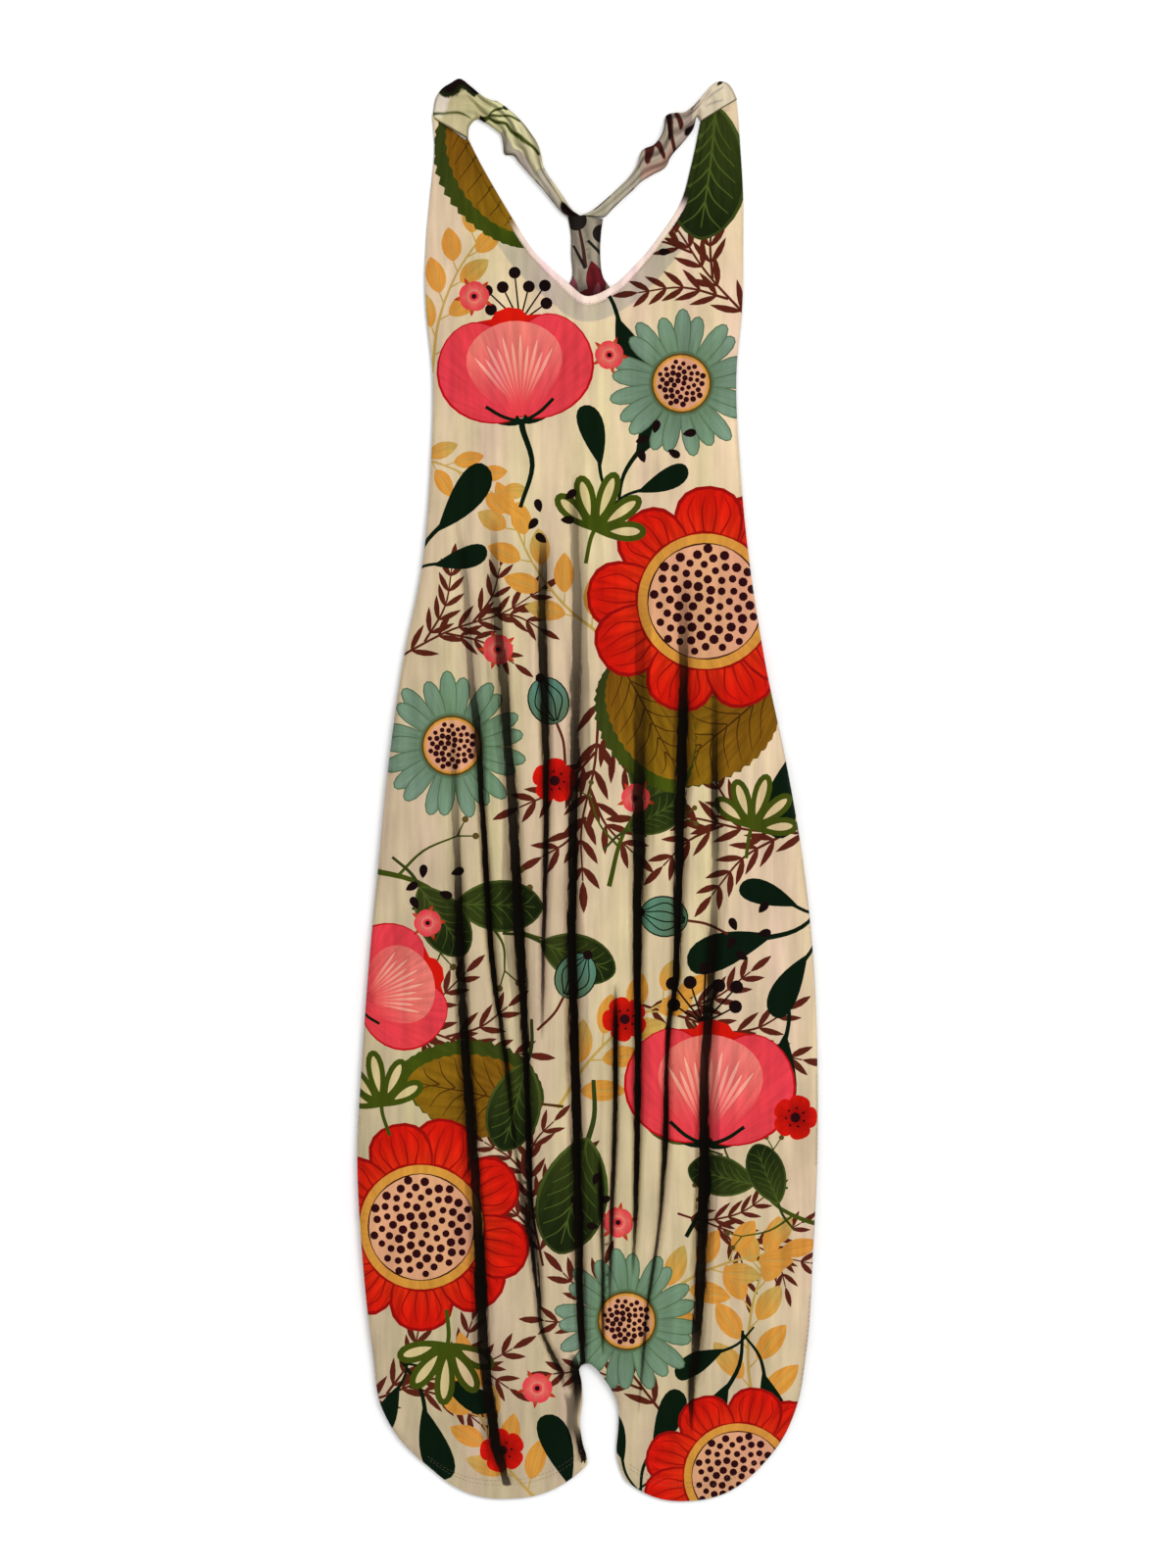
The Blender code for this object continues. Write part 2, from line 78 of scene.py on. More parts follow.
# The inner edges of the legs, from the crotch down to the hems
Inseam = namedtuple("Inseam", "left_x left_y right_x right_y")
INSEAMS = table(
    Inseam, (-3.0, -526.5, 1.5, -526.5), (-7.8, -531.5, 7.6, -531.0),
    (-5.3, -545.0, 19.0, -546.0), (-4.8, -562.0, 28.0, -565.0), (-7.0, -580.0, 28.3, -586.0),
    (-4.5, -600.0, 26.6, -606.0), (-1.0, -611.0, 29.0, -620.0), (0.0, -619.5, 34.5, -633.5),
)
LEFT_HEM_DIP = 28.6
RIGHT_HEM_DIP = 23.6
HEM_POWER = 2.4
HEM_ROWS = (13, 17)  # how far the two rows of stitches are above the hem's edge

# The edge of the neck opening, from the left strap to the right one
NECKLINE = (
    (-109.8, 597.6), (-96.8, 572.0), (-76.0, 536.0), (-53.6, 500.0), (-37.4, 482.0),
    (-16.7, 464.0), (0.5, 452.7), (25.7, 464.0), (44.6, 482.0), (59.9, 500.0), (84.2, 536.0),
    (95.0, 572.0), (103.9, 613.7),
)
LEFT_STRAP_CORNER = (-142.6, 616.5)
RIGHT_STRAP_CORNER = (137.2, 634.0)
STRAP_TUCK = 3.0  # how far the front runs on below each strap

# The neck binding: its width at the bottom of the V and on the slopes
BAND_AT_POINT = 8.5
BAND_ON_SLOPE = 5.6
BAND_EVEN_FROM = 60
BAND_HEIGHT = 2.5
BAND_TUCK = 2.5  # how far in the front's raw edge lies
BAND_PALE_LEFT, BAND_PALE_RIGHT = 525, 546  # the binding is plain below, and printed above
NECK_SEAM_AT = 0.82  # share of the binding's width
NECK_SEAM_RISE = 0.86  # share of the binding's height
NECK_SEAM_TOP = 520
# Painted shade along the neckline where the facing lies under the front: its width and its top
FACING_SHADE_WIDTH = 24
FACING_SHADE_TOP = 526
FACING_SHADE_FADE = 34  # how far below its top the facing's painted shade shows in full

# What the front lies on: the back below REST_FULL, and nothing above REST_NONE
REST_FULL = 465
REST_NONE = 500
BACK_WALL = 1.2
SEAM_GAP = 0.3
BACK_INSET = 1.0

# How high the front rises between its folds
RISE_LEVELS = (-652, -640, -600, -540, -450, -300, 0, 185, 290, 380, 443, 640)
RISES = (0.8, 1.4, 6.2, 11.0, 13.5, 14.5, 14.5, 13.0, 9.0, 5.5, 3.8, 3.2)
EDGE_ROLL = 9
ROLL_SHARE = 0.72
CROWN_REACH = 36
CREASE_FLOOR = 2.2
LONGEST_SIDE = 8.0  # of a mark's outline, so that the marks follow the folds
UNDER_REACH = (-3.2, -1.6, 0, 1.6, 3.2)  # the underside keeps below the troughs this far off
FAR = 4.0  # any distance from here on, in half widths, shows no shade

# The meshes: the step along a panel's outline, how far in its rings of points lie, the distance
# between its rows, and of the points in a row where no crease runs
FRONT_STEP = 4.4
FRONT_RINGS = (1.3, 3.2, 5.6, 8.6)
FRONT_ROWS = 7.0
UNDERSIDE_ROWS = 14.0
POINT_SPACING = 4.6
EXTRA_POINTS = 0.30  # how many more a millimetre of a row has on a crease
BACK_STEP = 4.6
BACK_RINGS = (1.5, 4.0)
BACK_ROWS = 6.5

# The folds of the front: at each level y a crease's x, the half width and the darkness of its
# core, and the strength of the soft shade round it. The darkness and the soft shade are painted
# shade in the cloth's colour, and they also set how deep the trough is
Knot = namedtuple("Knot", "y x width dark veil")
CREASES = {
    "side_left": table(
        Knot, (80, -125.0, 3.0, 0.00, 0.00), (20, -122.6, 3.5, 0.18, 0.15),
        (-55, -119.6, 4.2, 0.35, 0.30), (-112, -117.6, 5.0, 0.74, 0.35),
        (-175, -115.6, 5.4, 0.80, 0.30), (-265, -109.6, 5.8, 0.86, 0.40),
        (-330, -105.0, 6.4, 0.80, 0.35), (-372, -101.8, 6.0, 0.72, 0.30),
        (-430, -99.0, 7.4, 0.97, 0.30), (-517, -94.5, 6.6, 0.80, 0.35),
        (-560, -90.0, 6.6, 0.88, 0.25), (-607, -82.6, 7.2, 0.86, 0.20),
        (-638, -73.5, 4.0, 0.55, 0.10),
    ),
    "long_left": table(
        Knot, (262, -121.0, 2.5, 0.00, 0.00), (185, -111.5, 3.5, 0.22, 0.18),
        (95, -106.0, 4.2, 0.34, 0.22), (59, -101.5, 4.8, 0.62, 0.25), (0, -97.5, 3.6, 0.84, 0.20),
        (-58, -94.0, 3.4, 0.90, 0.20), (-175, -85.2, 3.3, 0.90, 0.30),
        (-244, -75.3, 2.5, 0.70, 0.15), (-345, -63.8, 1.9, 0.40, 0.10),
        (-380, -58.0, 3.4, 0.62, 0.20), (-410, -51.5, 4.6, 0.88, 0.45),
        (-455, -45.5, 3.4, 0.82, 0.30), (-500, -40.5, 2.2, 0.60, 0.15),
        (-529, -27.0, 3.0, 0.60, 0.20), (-552, -20.0, 2.0, 0.00, 0.00),
    ),
    "inseam_left": table(
        Knot, (-517, -12.5, 2.0, 0.00, 0.30), (-530, -10.8, 6.4, 0.90, 0.60),
        (-548, -9.2, 5.6, 0.88, 0.85), (-563, -9.6, 3.4, 0.30, 1.00),
        (-586, -10.4, 3.0, 0.10, 1.00), (-598, -6.8, 4.6, 0.86, 0.40),
        (-618, -2.8, 3.6, 0.80, 0.10),
    ),
    "soft_left": table(
        Knot, (250, -86.0, 4.0, 0.00, 0.00), (190, -85.0, 5.4, 0.34, 0.25),
        (110, -78.0, 5.8, 0.52, 0.35), (70, -75.0, 5.8, 0.66, 0.35),
        (-16, -68.5, 6.2, 0.76, 0.35), (-102, -64.2, 6.2, 0.92, 0.55),
        (-160, -60.5, 5.6, 0.93, 0.60), (-230, -57.0, 4.0, 0.90, 0.30),
        (-300, -54.6, 3.2, 0.88, 0.20), (-370, -52.5, 3.6, 0.88, 0.25),
        (-420, -48.0, 3.0, 0.50, 0.15), (-460, -45.0, 2.0, 0.00, 0.00),
    ),
    "inner_left": table(
        Knot, (236, -41.0, 3.5, 0.00, 0.00), (205, -41.0, 4.6, 0.45, 0.20),
        (149, -41.5, 5.0, 0.70, 0.25), (59, -38.6, 4.8, 0.76, 0.25), (0, -37.8, 3.6, 0.82, 0.20),
        (-45, -38.2, 3.0, 0.86, 0.20), (-130, -40.2, 2.4, 0.72, 0.10),
        (-184, -41.0, 1.9, 0.48, 0.05), (-232, -42.0, 1.4, 0.00, 0.00),
    ),
    "centre": table(
        Knot, (292, -12.0, 3.5, 0.00, 0.00), (255, -12.6, 4.6, 0.20, 0.30),
        (185, -9.8, 5.2, 0.26, 0.40), (131, -10.6, 6.0, 0.34, 0.62), (59, -11.6, 6.2, 0.66, 0.66),
        (0, -12.4, 5.6, 0.84, 0.55), (-49, -13.4, 5.6, 0.92, 0.40),
        (-175, -14.0, 5.8, 0.96, 0.30), (-265, -11.2, 5.8, 0.96, 0.25),
        (-355, -9.4, 5.3, 0.95, 0.25), (-445, -7.6, 5.0, 0.92, 0.20),
        (-515, -5.0, 3.4, 0.86, 0.15), (-527, -4.6, 3.0, 0.80, 0.10),
    ),
    "thin_low": table(
        Knot, (-330, 10.5, 1.0, 0.00, 0.00), (-350, 11.2, 1.8, 0.52, 0.10),
        (-429, 13.7, 1.8, 0.56, 0.10), (-500, 13.9, 1.6, 0.42, 0.05),
        (-522, 14.0, 1.2, 0.00, 0.00),
    ),
    "short_low": table(
        Knot, (-176, 25.2, 1.2, 0.00, 0.00), (-211, 25.4, 2.6, 0.66, 0.15),
        (-302, 25.2, 2.8, 0.82, 0.20), (-388, 22.2, 2.2, 0.72, 0.10),
        (-440, 20.6, 1.6, 0.45, 0.05), (-480, 20.0, 1.2, 0.00, 0.00),
    ),
    "inner_right": table(
        Knot, (196, 46.0, 4.0, 0.00, 0.00), (131, 47.6, 5.6, 0.12, 0.34),
        (59, 47.4, 6.6, 0.24, 0.50), (-16, 46.6, 7.0, 0.74, 0.45), (-73, 46.8, 6.6, 0.90, 0.35),
        (-150, 45.4, 4.8, 0.93, 0.25), (-244, 45.8, 4.2, 0.93, 0.20),
        (-300, 45.6, 4.0, 0.91, 0.20), (-360, 44.6, 3.1, 0.88, 0.15),
        (-410, 43.0, 2.1, 0.60, 0.10), (-448, 41.0, 1.4, 0.00, 0.00),
    ),
    "soft_right": table(
        Knot, (202, 87.8, 3.5, 0.00, 0.00), (150, 88.0, 5.0, 0.20, 0.30),
        (110, 87.8, 5.8, 0.56, 0.30), (70, 87.0, 6.6, 0.88, 0.25), (-45, 84.0, 6.2, 0.92, 0.30),
        (-120, 82.4, 4.8, 0.95, 0.25), (-173, 80.6, 4.0, 0.94, 0.20),
        (-216, 74.6, 2.6, 0.80, 0.10), (-331, 70.6, 3.1, 0.85, 0.15),
        (-403, 65.0, 1.8, 0.62, 0.10), (-472, 55.0, 1.6, 0.52, 0.05),
        (-540, 49.0, 1.4, 0.30, 0.05), (-576, 46.0, 1.0, 0.00, 0.00),
    ),
    "side_right": table(
        Knot, (112, 116.5, 3.0, 0.00, 0.00), (59, 116.4, 3.4, 0.30, 0.20),
        (-16, 116.6, 4.4, 0.62, 0.25), (-62, 116.8, 4.4, 0.36, 0.35),
        (-110, 115.8, 4.6, 0.30, 0.35), (-157, 113.8, 5.4, 0.68, 0.30),
        (-202, 111.0, 5.4, 0.74, 0.35), (-252, 107.0, 5.6, 0.70, 0.50),
        (-320, 106.6, 6.2, 0.88, 0.40), (-430, 104.2, 6.8, 0.92, 0.35),
        (-474, 101.8, 6.0, 0.90, 0.30), (-520, 98.4, 5.0, 0.72, 0.25),
        (-543, 95.4, 3.8, 0.78, 0.15), (-575, 95.0, 2.2, 0.45, 0.05),
        (-592, 95.2, 1.2, 0.00, 0.00),
    ),
}
CORE_SHARE = 0.74
CREASE_STEP = 5.0
CREASE_DEPTH = 11.5
CORE_MARGIN = 1.6  # how far a crease's trough reaches past its core
VEIL_DEPTH = 5.0
VEIL_MARGIN = 5  # how far the soft hollow round it does
SHADE_MARGIN = 3.4  # how far its painted soft shade does
LEAN_WAVER = 0.35
# Which side of each crease its painted soft shade lies on, from -1 to 1
LEANS = {
    "side_left": -0.3, "inseam_left": -1.0, "long_left": 0.5, "soft_left": -0.8,
    "inner_left": 0.5, "centre": 0.9, "thin_low": 0.5, "short_low": -0.5, "inner_right": 0.8,
    "soft_right": 0.6, "side_right": 0.9,
}

# The back above the underarms: the bar, and the armholes that curve out from it
BACK_TOP = table(
    Side, (528.2, -18.6, 14.8), (510.0, -15.3, 12.3), (490.0, -15.0, 11.6), (472.0, -13.8, 13.6),
    (462.0, -18.2, 19.8), (445.0, -32.0, 33.0), (428.0, -49.0, 50.0), (410.0, -71.0, 69.0),
    (396.0, -92.0, 88.0), (380.0, -118.0, 112.0), (370.0, -138.0, 133.0),
)
UNDERARM = 362
SEEN_ABOVE = 400  # the back's upper face shows through the neck above this level
BAR_HEIGHT = 5.6
BAR_FLAT_BELOW = 466
BAR_FULL_ABOVE = 508
BAR_PLEATS = 2.5
PLEATS_FROM = 490
PLEAT_RUN = 95  # the length in which the pleats move on by one
PLEAT_DEPTH = 0.18
# Painted shade on the back's upper face: in the bar's pleats, along the bar's edges and under the
# front's neckline
PLEAT_SHADE = 0.22
BAR_EDGE_SHADE = 0.3
UNDER_NECK_SHADE = 0.42

# Sections of the straps, from the front's strap end over the shoulder to the bar
Section = namedtuple("Section", "upper_x upper_y lower_x lower_y height")
LEFT_STRAP = table(
    Section, (-142.2, 616.2, -109.6, 597.2, 4.8), (-141.4, 625.0, -109.0, 606.8, 5.4),
    (-139.3, 634.9, -106.5, 611.4, 6.2), (-133.8, 643.3, -104.2, 613.8, 7.0),
    (-125.3, 648.9, -102.5, 614.9, 7.6), (-117.0, 652.6, -101.2, 615.4, 8.0),
    (-107.2, 645.6, -99.9, 615.3, 8.4), (-97.0, 637.1, -98.1, 614.4, 8.6),
    (-89.0, 633.0, -94.5, 612.3, 8.8), (-82.8, 631.5, -90.5, 610.1, 9.0),
    (-74.2, 626.0, -84.5, 605.6, 9.2), (-65.7, 618.5, -79.3, 600.8, 9.2),
    (-58.5, 611.1, -77.5, 592.3, 9.2), (-51.7, 602.1, -76.1, 583.2, 9.0),
    (-45.9, 593.0, -68.0, 581.8, 8.8), (-42.5, 582.3, -62.2, 574.8, 8.6),
    (-40.9, 573.2, -52.5, 563.7, 8.2), (-36.9, 565.1, -46.9, 557.6, 8.0),
    (-30.6, 556.1, -39.7, 549.5, 7.8), (-22.4, 544.4, -32.0, 539.6, 7.4),
    (-14.5, 532.9, -24.2, 530.1, 6.6), (-6.6, 526.8, -18.9, 525.4, 6.0),
)
RIGHT_STRAP = table(
    Section, (137.2, 633.6, 103.6, 613.3, 4.8), (135.1, 638.8, 102.4, 615.8, 5.4),
    (132.3, 644.4, 101.6, 617.0, 6.2), (128.1, 648.7, 100.9, 617.6, 7.0),
    (121.6, 650.1, 100.1, 617.9, 7.6), (115.2, 647.4, 99.6, 617.5, 8.0),
    (108.1, 639.8, 99.1, 615.6, 8.4), (101.3, 631.6, 98.4, 610.6, 8.6),
    (94.6, 625.3, 96.8, 606.0, 8.8), (88.2, 621.4, 92.5, 599.8, 9.0),
    (80.7, 621.2, 85.4, 591.3, 9.2), (72.2, 618.5, 79.9, 585.4, 9.2),
    (70.1, 607.3, 75.5, 579.1, 9.2), (67.5, 600.4, 73.0, 573.3, 9.0),
    (61.2, 592.2, 68.9, 569.1, 8.8), (51.7, 588.0, 61.1, 565.1, 8.6),
    (48.2, 582.5, 53.9, 560.9, 8.4), (45.5, 572.9, 48.9, 557.6, 8.2),
    (37.9, 561.8, 41.7, 550.4, 8.0), (28.2, 552.1, 32.2, 541.8, 7.8),
    (16.0, 541.1, 22.4, 532.4, 7.2), (4.4, 531.9, 17.3, 526.7, 6.6),
    (-6.1, 526.8, 14.4, 525.3, 6.0),
)

# Dyes of the print, as screen colours from 0 to 255
DYE_STRENGTH = 0.86
DYES = {
    "cream": (225, 207, 177), "cream_low": (191, 179, 151), "red": (203, 22, 10),
    "red_deep": (150, 12, 10), "orange": (214, 60, 20), "ochre": (206, 146, 62),
    "tan": (214, 160, 128), "maroon": (44, 10, 16), "teal": (116, 148, 128),
    "teal_deep": (84, 112, 86), "teal_bud": (88, 134, 118), "brown_green": (88, 74, 34),
    "pink": (220, 62, 76), "pink_pale": (226, 122, 116), "pink_deep": (182, 12, 24),
    "blush": (222, 122, 112), "blush_pale": (238, 170, 156), "night": (8, 26, 12),
    "olive": (130, 96, 18), "olive_deep": (116, 80, 14), "olive_dark": (74, 46, 8),
    "moss": (62, 76, 14), "leaf": (50, 62, 22), "leaf_deep": (24, 36, 12),
    "leaf_line": (70, 88, 34), "straw": (186, 158, 86), "straw_pale": (206, 190, 146),
    "rust": (86, 34, 22), "soil": (22, 10, 10), "grey": (172, 161, 148), "cord": (180, 178, 160),
    "grey_deep": (104, 94, 86), "khaki": (199, 196, 153), "khaki_pale": (213, 210, 172),
    "shell": (214, 206, 184), "lilac": (178, 170, 164), "lilac_pink": (190, 156, 146),
    "maroon_pale": (70, 28, 26), "binding": (243, 224, 220), "white": (222, 216, 204),
    "wine": (150, 6, 36), "wine_pale": (196, 96, 110),
}


# Curves and outlines


def smooth(t):
    """0 to 1 with level ends, for t from 0 to 1."""
    t = np.clip(t, 0, 1)
    return t * t * (3 - 2 * t)


def bell(t):
    """1 at 0, falling to nothing on both sides."""
    return np.exp(-(t**2))


def spline(at, knots, values):
    """A smooth curve through (knots, values), knots rising, read at every place in at."""
    knots = np.asarray(knots, float)
    values = np.asarray(values, float)
    at = np.clip(np.asarray(at, float), knots[0], knots[-1])
    slopes = np.gradient(values, knots)
    i = np.clip(np.searchsorted(knots, at) - 1, 0, len(knots) - 2)
    span = knots[i + 1] - knots[i]
    t = (at - knots[i]) / span
    start = (2 * t**3 - 3 * t**2 + 1) * values[i] + (t**3 - 2 * t**2 + t) * span * slopes[i]
    end = (3 * t**2 - 2 * t**3) * values[i + 1] + (t**3 - t**2) * span * slopes[i + 1]
    return start + end


def read(rows, name, y):
    """A column of a table of levels, read smoothly at y."""
    rows = sorted(rows, key=lambda row: row.y)
    return spline(y, [row.y for row in rows], [getattr(row, name) for row in rows])


def rounded(points, per_span):
    """A smooth line through the points, with per_span steps between each two."""
    points = np.asarray(points, float)
    steps = np.arange(len(points))
    at = np.linspace(0, len(points) - 1, per_span * (len(points) - 1) + 1)
    return np.column_stack([spline(at, steps, points[:, i]) for i in range(2)])


def spaced(points, step):
    """A polyline resampled in equal steps of about this length, with both its ends."""
    points = np.asarray(points, float)
    walked = np.concatenate([[0], np.cumsum(np.linalg.norm(np.diff(points, axis=0), axis=1))])
    count = max(1, round(walked[-1] / step))
    at = np.linspace(0, walked[-1], count + 1)
    return np.column_stack([np.interp(at, walked, points[:, i]) for i in range(points.shape[1])])


def normals_of(points):
    """Unit vectors to the right of a line's direction, one for each point."""
    ahead = np.gradient(points, axis=0)
    ahead /= np.linalg.norm(ahead, axis=1)[:, None]
    return np.column_stack([ahead[:, 1], -ahead[:, 0]])


def opening():
    """The edge of the neck opening, from left to right."""
    return spaced(rounded(NECKLINE, 10), 3.0)


def band_widths(points):
    """Width of the neck binding at each point of the opening."""
    lowest = points[np.argmin(points[:, 1])]
    share = smooth(np.linalg.norm(points - lowest, axis=1) / BAND_EVEN_FROM)
    return BAND_AT_POINT + share * (BAND_ON_SLOPE - BAND_AT_POINT)


def sewn_line():
    """The line on which the binding is sewn to the front, along its outer edge."""
    points = opening()
    return points + normals_of(points) * band_widths(points)[:, None]


def hem(side_end, inner_end, dip):
    """A hem's edge, bowed down between its ends."""
    share = np.linspace(0, 1, 33)
    x = side_end[0] + share * (inner_end[0] - side_end[0])
    y = side_end[1] + share * (inner_end[1] - side_end[1])
    return np.column_stack([x, y - dip * (1 - np.abs(2 * share - 1) ** HEM_POWER)])


def leg_edges(inset=0.0):
    """The lower outline, from the left side seam round both legs to the right one."""
    low = min(SIDES)
    left = rounded([(leg.left_x - inset, leg.left_y) for leg in INSEAMS], 5)
    right = rounded([(leg.right_x + inset, leg.right_y) for leg in INSEAMS], 5)
    left[-1, 1] += inset
    right[-1, 1] += inset
    left_hem = hem((low.left + inset, low.y + inset), left[-1], LEFT_HEM_DIP)
    right_hem = hem((low.right - inset, low.y + inset), right[-1], RIGHT_HEM_DIP)
    return np.concatenate([left_hem[:-1], left[::-1], right, right_hem[::-1][1:]])


def side_line(side, top, inset=0.0):
    """A side seam from its top down to the hem."""
    y = np.linspace(top, min(SIDES).y + inset, 240)
    shift = inset if side == "left" else -inset
    return np.column_stack([read(SIDES, side, y) + shift, y])


def front_outline(neck, step):
    """The front's outline, anticlockwise from its left strap, with this line as its neckline."""
    left_top = np.array([LEFT_STRAP_CORNER])
    right_top = np.array([RIGHT_STRAP_CORNER])
    tuck = np.array([0, STRAP_TUCK])
    parts = [
        left_top + tuck,
        side_line("left", LEFT_STRAP_CORNER[1]),
        leg_edges(),
        side_line("right", RIGHT_STRAP_CORNER[1])[::-1],
        right_top + tuck,
        neck[::-1],
    ]
    parts[-1][[0, -1]] += tuck
    corners = [(parts[0], parts[1]), (parts[2],), (parts[3], parts[4]), (parts[5],)]
    lines = [spaced(np.concatenate(group), step)[:-1] for group in corners]
    return np.concatenate(lines)


def back_outline(step):
    """The back's outline, anticlockwise from the left end of the bar."""
    left = rounded([(row.left, row.y) for row in BACK_TOP], 5)
    right = rounded([(row.right, row.y) for row in BACK_TOP], 5)
    parts = [
        np.concatenate([left, side_line("left", UNDERARM, BACK_INSET)]),
        leg_edges(BACK_INSET),
        np.concatenate([side_line("right", UNDERARM, BACK_INSET)[::-1], right[::-1]]),
    ]
    return np.concatenate([spaced(part, step)[:-1] for part in parts])


def inside(points, outline):
    """Which of the points lie inside a closed outline."""
    start = outline
    end = np.roll(outline, -1, axis=0)
    odd = np.zeros(len(points), bool)
    for (x0, y0), (x1, y1) in zip(start, end):
        if y0 != y1:
            crosses = (y0 > points[:, 1]) != (y1 > points[:, 1])
            at = x0 + (points[:, 1] - y0) / (y1 - y0) * (x1 - x0)
            odd ^= crosses & (points[:, 0] < at)
    return odd


def distance_to(points, line, closed=False):
    """Distance from each point to a polyline."""
    start = line if closed else line[:-1]
    end = np.roll(line, -1, axis=0) if closed else line[1:]
    nearest = np.full(len(points), np.inf)
    for a, b in zip(start, end):
        run = b - a
        t = np.clip(((points - a) @ run) / max(run @ run, 1e-9), 0, 1)
        off = points - a - t[:, None] * run
        nearest = np.minimum(nearest, np.einsum("ij,ij->i", off, off))
    return np.sqrt(nearest)


# The form of the front


def crease_at(knots, y):
    """A crease's x, half width, painted darkness and veil of painted soft shade at the levels y,
    with none past its ends.
    """
    levels = [knot.y for knot in knots][::-1]
    x, width, dark, veil = (
        spline(y, levels, [getattr(knot, name) for knot in knots][::-1])
        for name in ("x", "width", "dark", "veil")
    )
    within = (y >= levels[0]) & (y <= levels[-1])
    width = CORE_SHARE * np.maximum(width, 1.0)
    return x, width, np.clip(dark, 0, 1) * within, np.clip(veil, 0, 1) * within


def crease_lines(outline):
    """Lines along the middle and the two edges of each crease's core, within the outline."""
    lines = []
    for knots in CREASES.values():
        y = np.arange(knots[-1].y, knots[0].y, CREASE_STEP)
        x, width, dark, _ = crease_at(knots, y)
        for side in (-1, 0, 1):
            line = np.column_stack([x + side * width, y])
            keep = inside(line, outline) & (distance_to(line, outline, True) > 2.5) & (dark > 0.02)
            if keep.sum() > 1:
                first, last = np.flatnonzero(keep)[[0, -1]]
                lines.append(line[first : last + 1])
    return lines


def rest(y):
    """Height of what the front lies on, with the gap to it."""
    return (BACK_WALL + SEAM_GAP) * smooth((REST_NONE - y) / (REST_NONE - REST_FULL))


class FrontForm:
    """The height and the painted shading of the front's outer face, read at points in the plane.
    """

    def __init__(self):
        self.edge = front_outline(sewn_line(), 9.0)
        self.opening = opening()

    def heights(self, points, settings):
        x, y = points[:, 0], points[:, 1]
        off = distance_to(points, self.edge, closed=True) * inside(points, self.edge)
        turn = np.clip(off / EDGE_ROLL, 0, 1)
        roll = ROLL_SHARE * np.sqrt(1 - (1 - turn) ** 2)
        crown = (1 - ROLL_SHARE) * smooth(off / CROWN_REACH)
        rise = spline(y, RISE_LEVELS, RISES) * (roll + crown)
        swell = np.sin(x / 15.0 + 1.3 * np.sin(y / 131.0)) * np.sin(y / 190.0 + x / 47.0)
        swell += 0.5 * np.sin(x / 7.7 + 0.9 * np.sin(y / 83.0 + x / 90.0))
        rise *= 1 + settings.swell * swell
        depths = np.zeros(len(points))
        for knots in CREASES.values():
            at, width, dark, veil = crease_at(knots, y)
            core = CREASE_DEPTH * dark * bell((x - at) / (0.8 * width + CORE_MARGIN))
            soft = VEIL_DEPTH * veil * bell((x - at) / (width + VEIL_MARGIN))
            depths += (core + soft) ** 3
        depths = np.cbrt(depths)
        room = np.maximum(rise - np.minimum(CREASE_FLOOR, rise / 2), 0)
        return rest(y) + BACK_WALL + rise - room * np.tanh(depths / np.maximum(room, 0.1))

    def shades(self, points):
        """What the material needs to paint shade: in the creases, beside them and over the facing.

        The first triple at each point is the distance from the nearest crease in half widths,
        its painted darkness, and the distance from the opening in facing widths. The second is the
        same for the soft shade, and the strength of the facing's painted shade.
        """
        x, y = points[:, 0], points[:, 1]
        core = np.zeros((len(points), 3))
        soft = np.zeros((len(points), 3))
        core[:, 0], soft[:, 0] = FAR, FAR
        for name, knots in CREASES.items():
            at, width, dark, veil = crease_at(knots, y)
            lean = LEANS[name] + LEAN_WAVER * np.sin(y / 37 + knots[0].x)
            for triple, middle, half, strength in (
                (core, at, width, dark),
                (soft, at + lean * (width + 1), width + SHADE_MARGIN, veil),
            ):
                off = np.where(strength > 0, np.abs(x - middle) / half, FAR)
                nearer = off < triple[:, 0]
                triple[nearer, 0] = off[nearer]
                triple[nearer, 1] = strength[nearer]
        core[:, 2] = np.minimum(distance_to(points, self.opening) / FACING_SHADE_WIDTH, FAR)
        soft[:, 2] = smooth((FACING_SHADE_TOP - y) / FACING_SHADE_FADE)
        return core, soft


def across_bar(x, y):
    """The share of the way across the back's top, and the wave of the bar's pleats, -1 to 1."""
    left, right = read(BACK_TOP, "left", y), read(BACK_TOP, "right", y)
    share = (x - left) / np.maximum(right - left, 1)
    return share, np.cos(2 * np.pi * (BAR_PLEATS * share + (y - PLEATS_FROM) / PLEAT_RUN))


def back_heights(points):
    """Height of the back's upper face: flat, with the bar pleated and raised."""
    x, y = points[:, 0], points[:, 1]
    bar = smooth((y - BAR_FLAT_BELOW) / (BAR_FULL_ABOVE - BAR_FLAT_BELOW))
    share, wave = across_bar(x, y)
    dome = np.sqrt(np.clip(4 * share * (1 - share), 0, 1))
    pleats = 1 - PLEAT_DEPTH * (1 - wave)
    return BACK_WALL + (BAR_HEIGHT - BACK_WALL) * bar * dome * pleats


# The print: marks drawn in motifs, each motif in its own frame


Mark = namedtuple("Mark", "edge root tip origin turn reach strokes")


def linear(name):
    """A dye's colour in linear light, as strong as it shows under the studio's light."""
    screen = np.array(DYES[name]) / 255
    light = np.where(screen <= 0.04045, screen / 12.92, ((screen + 0.055) / 1.055) ** 2.4)
    return light * DYE_STRENGTH


def turned(points, degrees):
    """Points turned anticlockwise about the origin."""
    c, s = math.cos(math.radians(degrees)), math.sin(math.radians(degrees))
    return np.asarray(points, float) @ np.array([[c, s], [-s, c]])


def blade(length, width, belly=0.5, blunt=1.0, bend=0.0, teeth=0.0, steps=9):
    """A petal's or leaf's outline along +X: widest at belly, with a round tip if blunt is low."""
    t = (1 - np.cos(np.pi * np.arange(steps + 1) / steps)) / 2
    root = blunt * belly / (1 - belly)
    half = width / 2 * (t / belly) ** root * ((1 - t) / (1 - belly)) ** blunt
    if teeth:
        half = half * (1 - teeth * (np.arange(steps + 1) % 2))
    middle = bend * length * t**2
    upper = np.column_stack([t * length, middle + half])
    lower = np.column_stack([t * length, middle - half])[1:-1]
    return np.concatenate([lower, upper[::-1]])


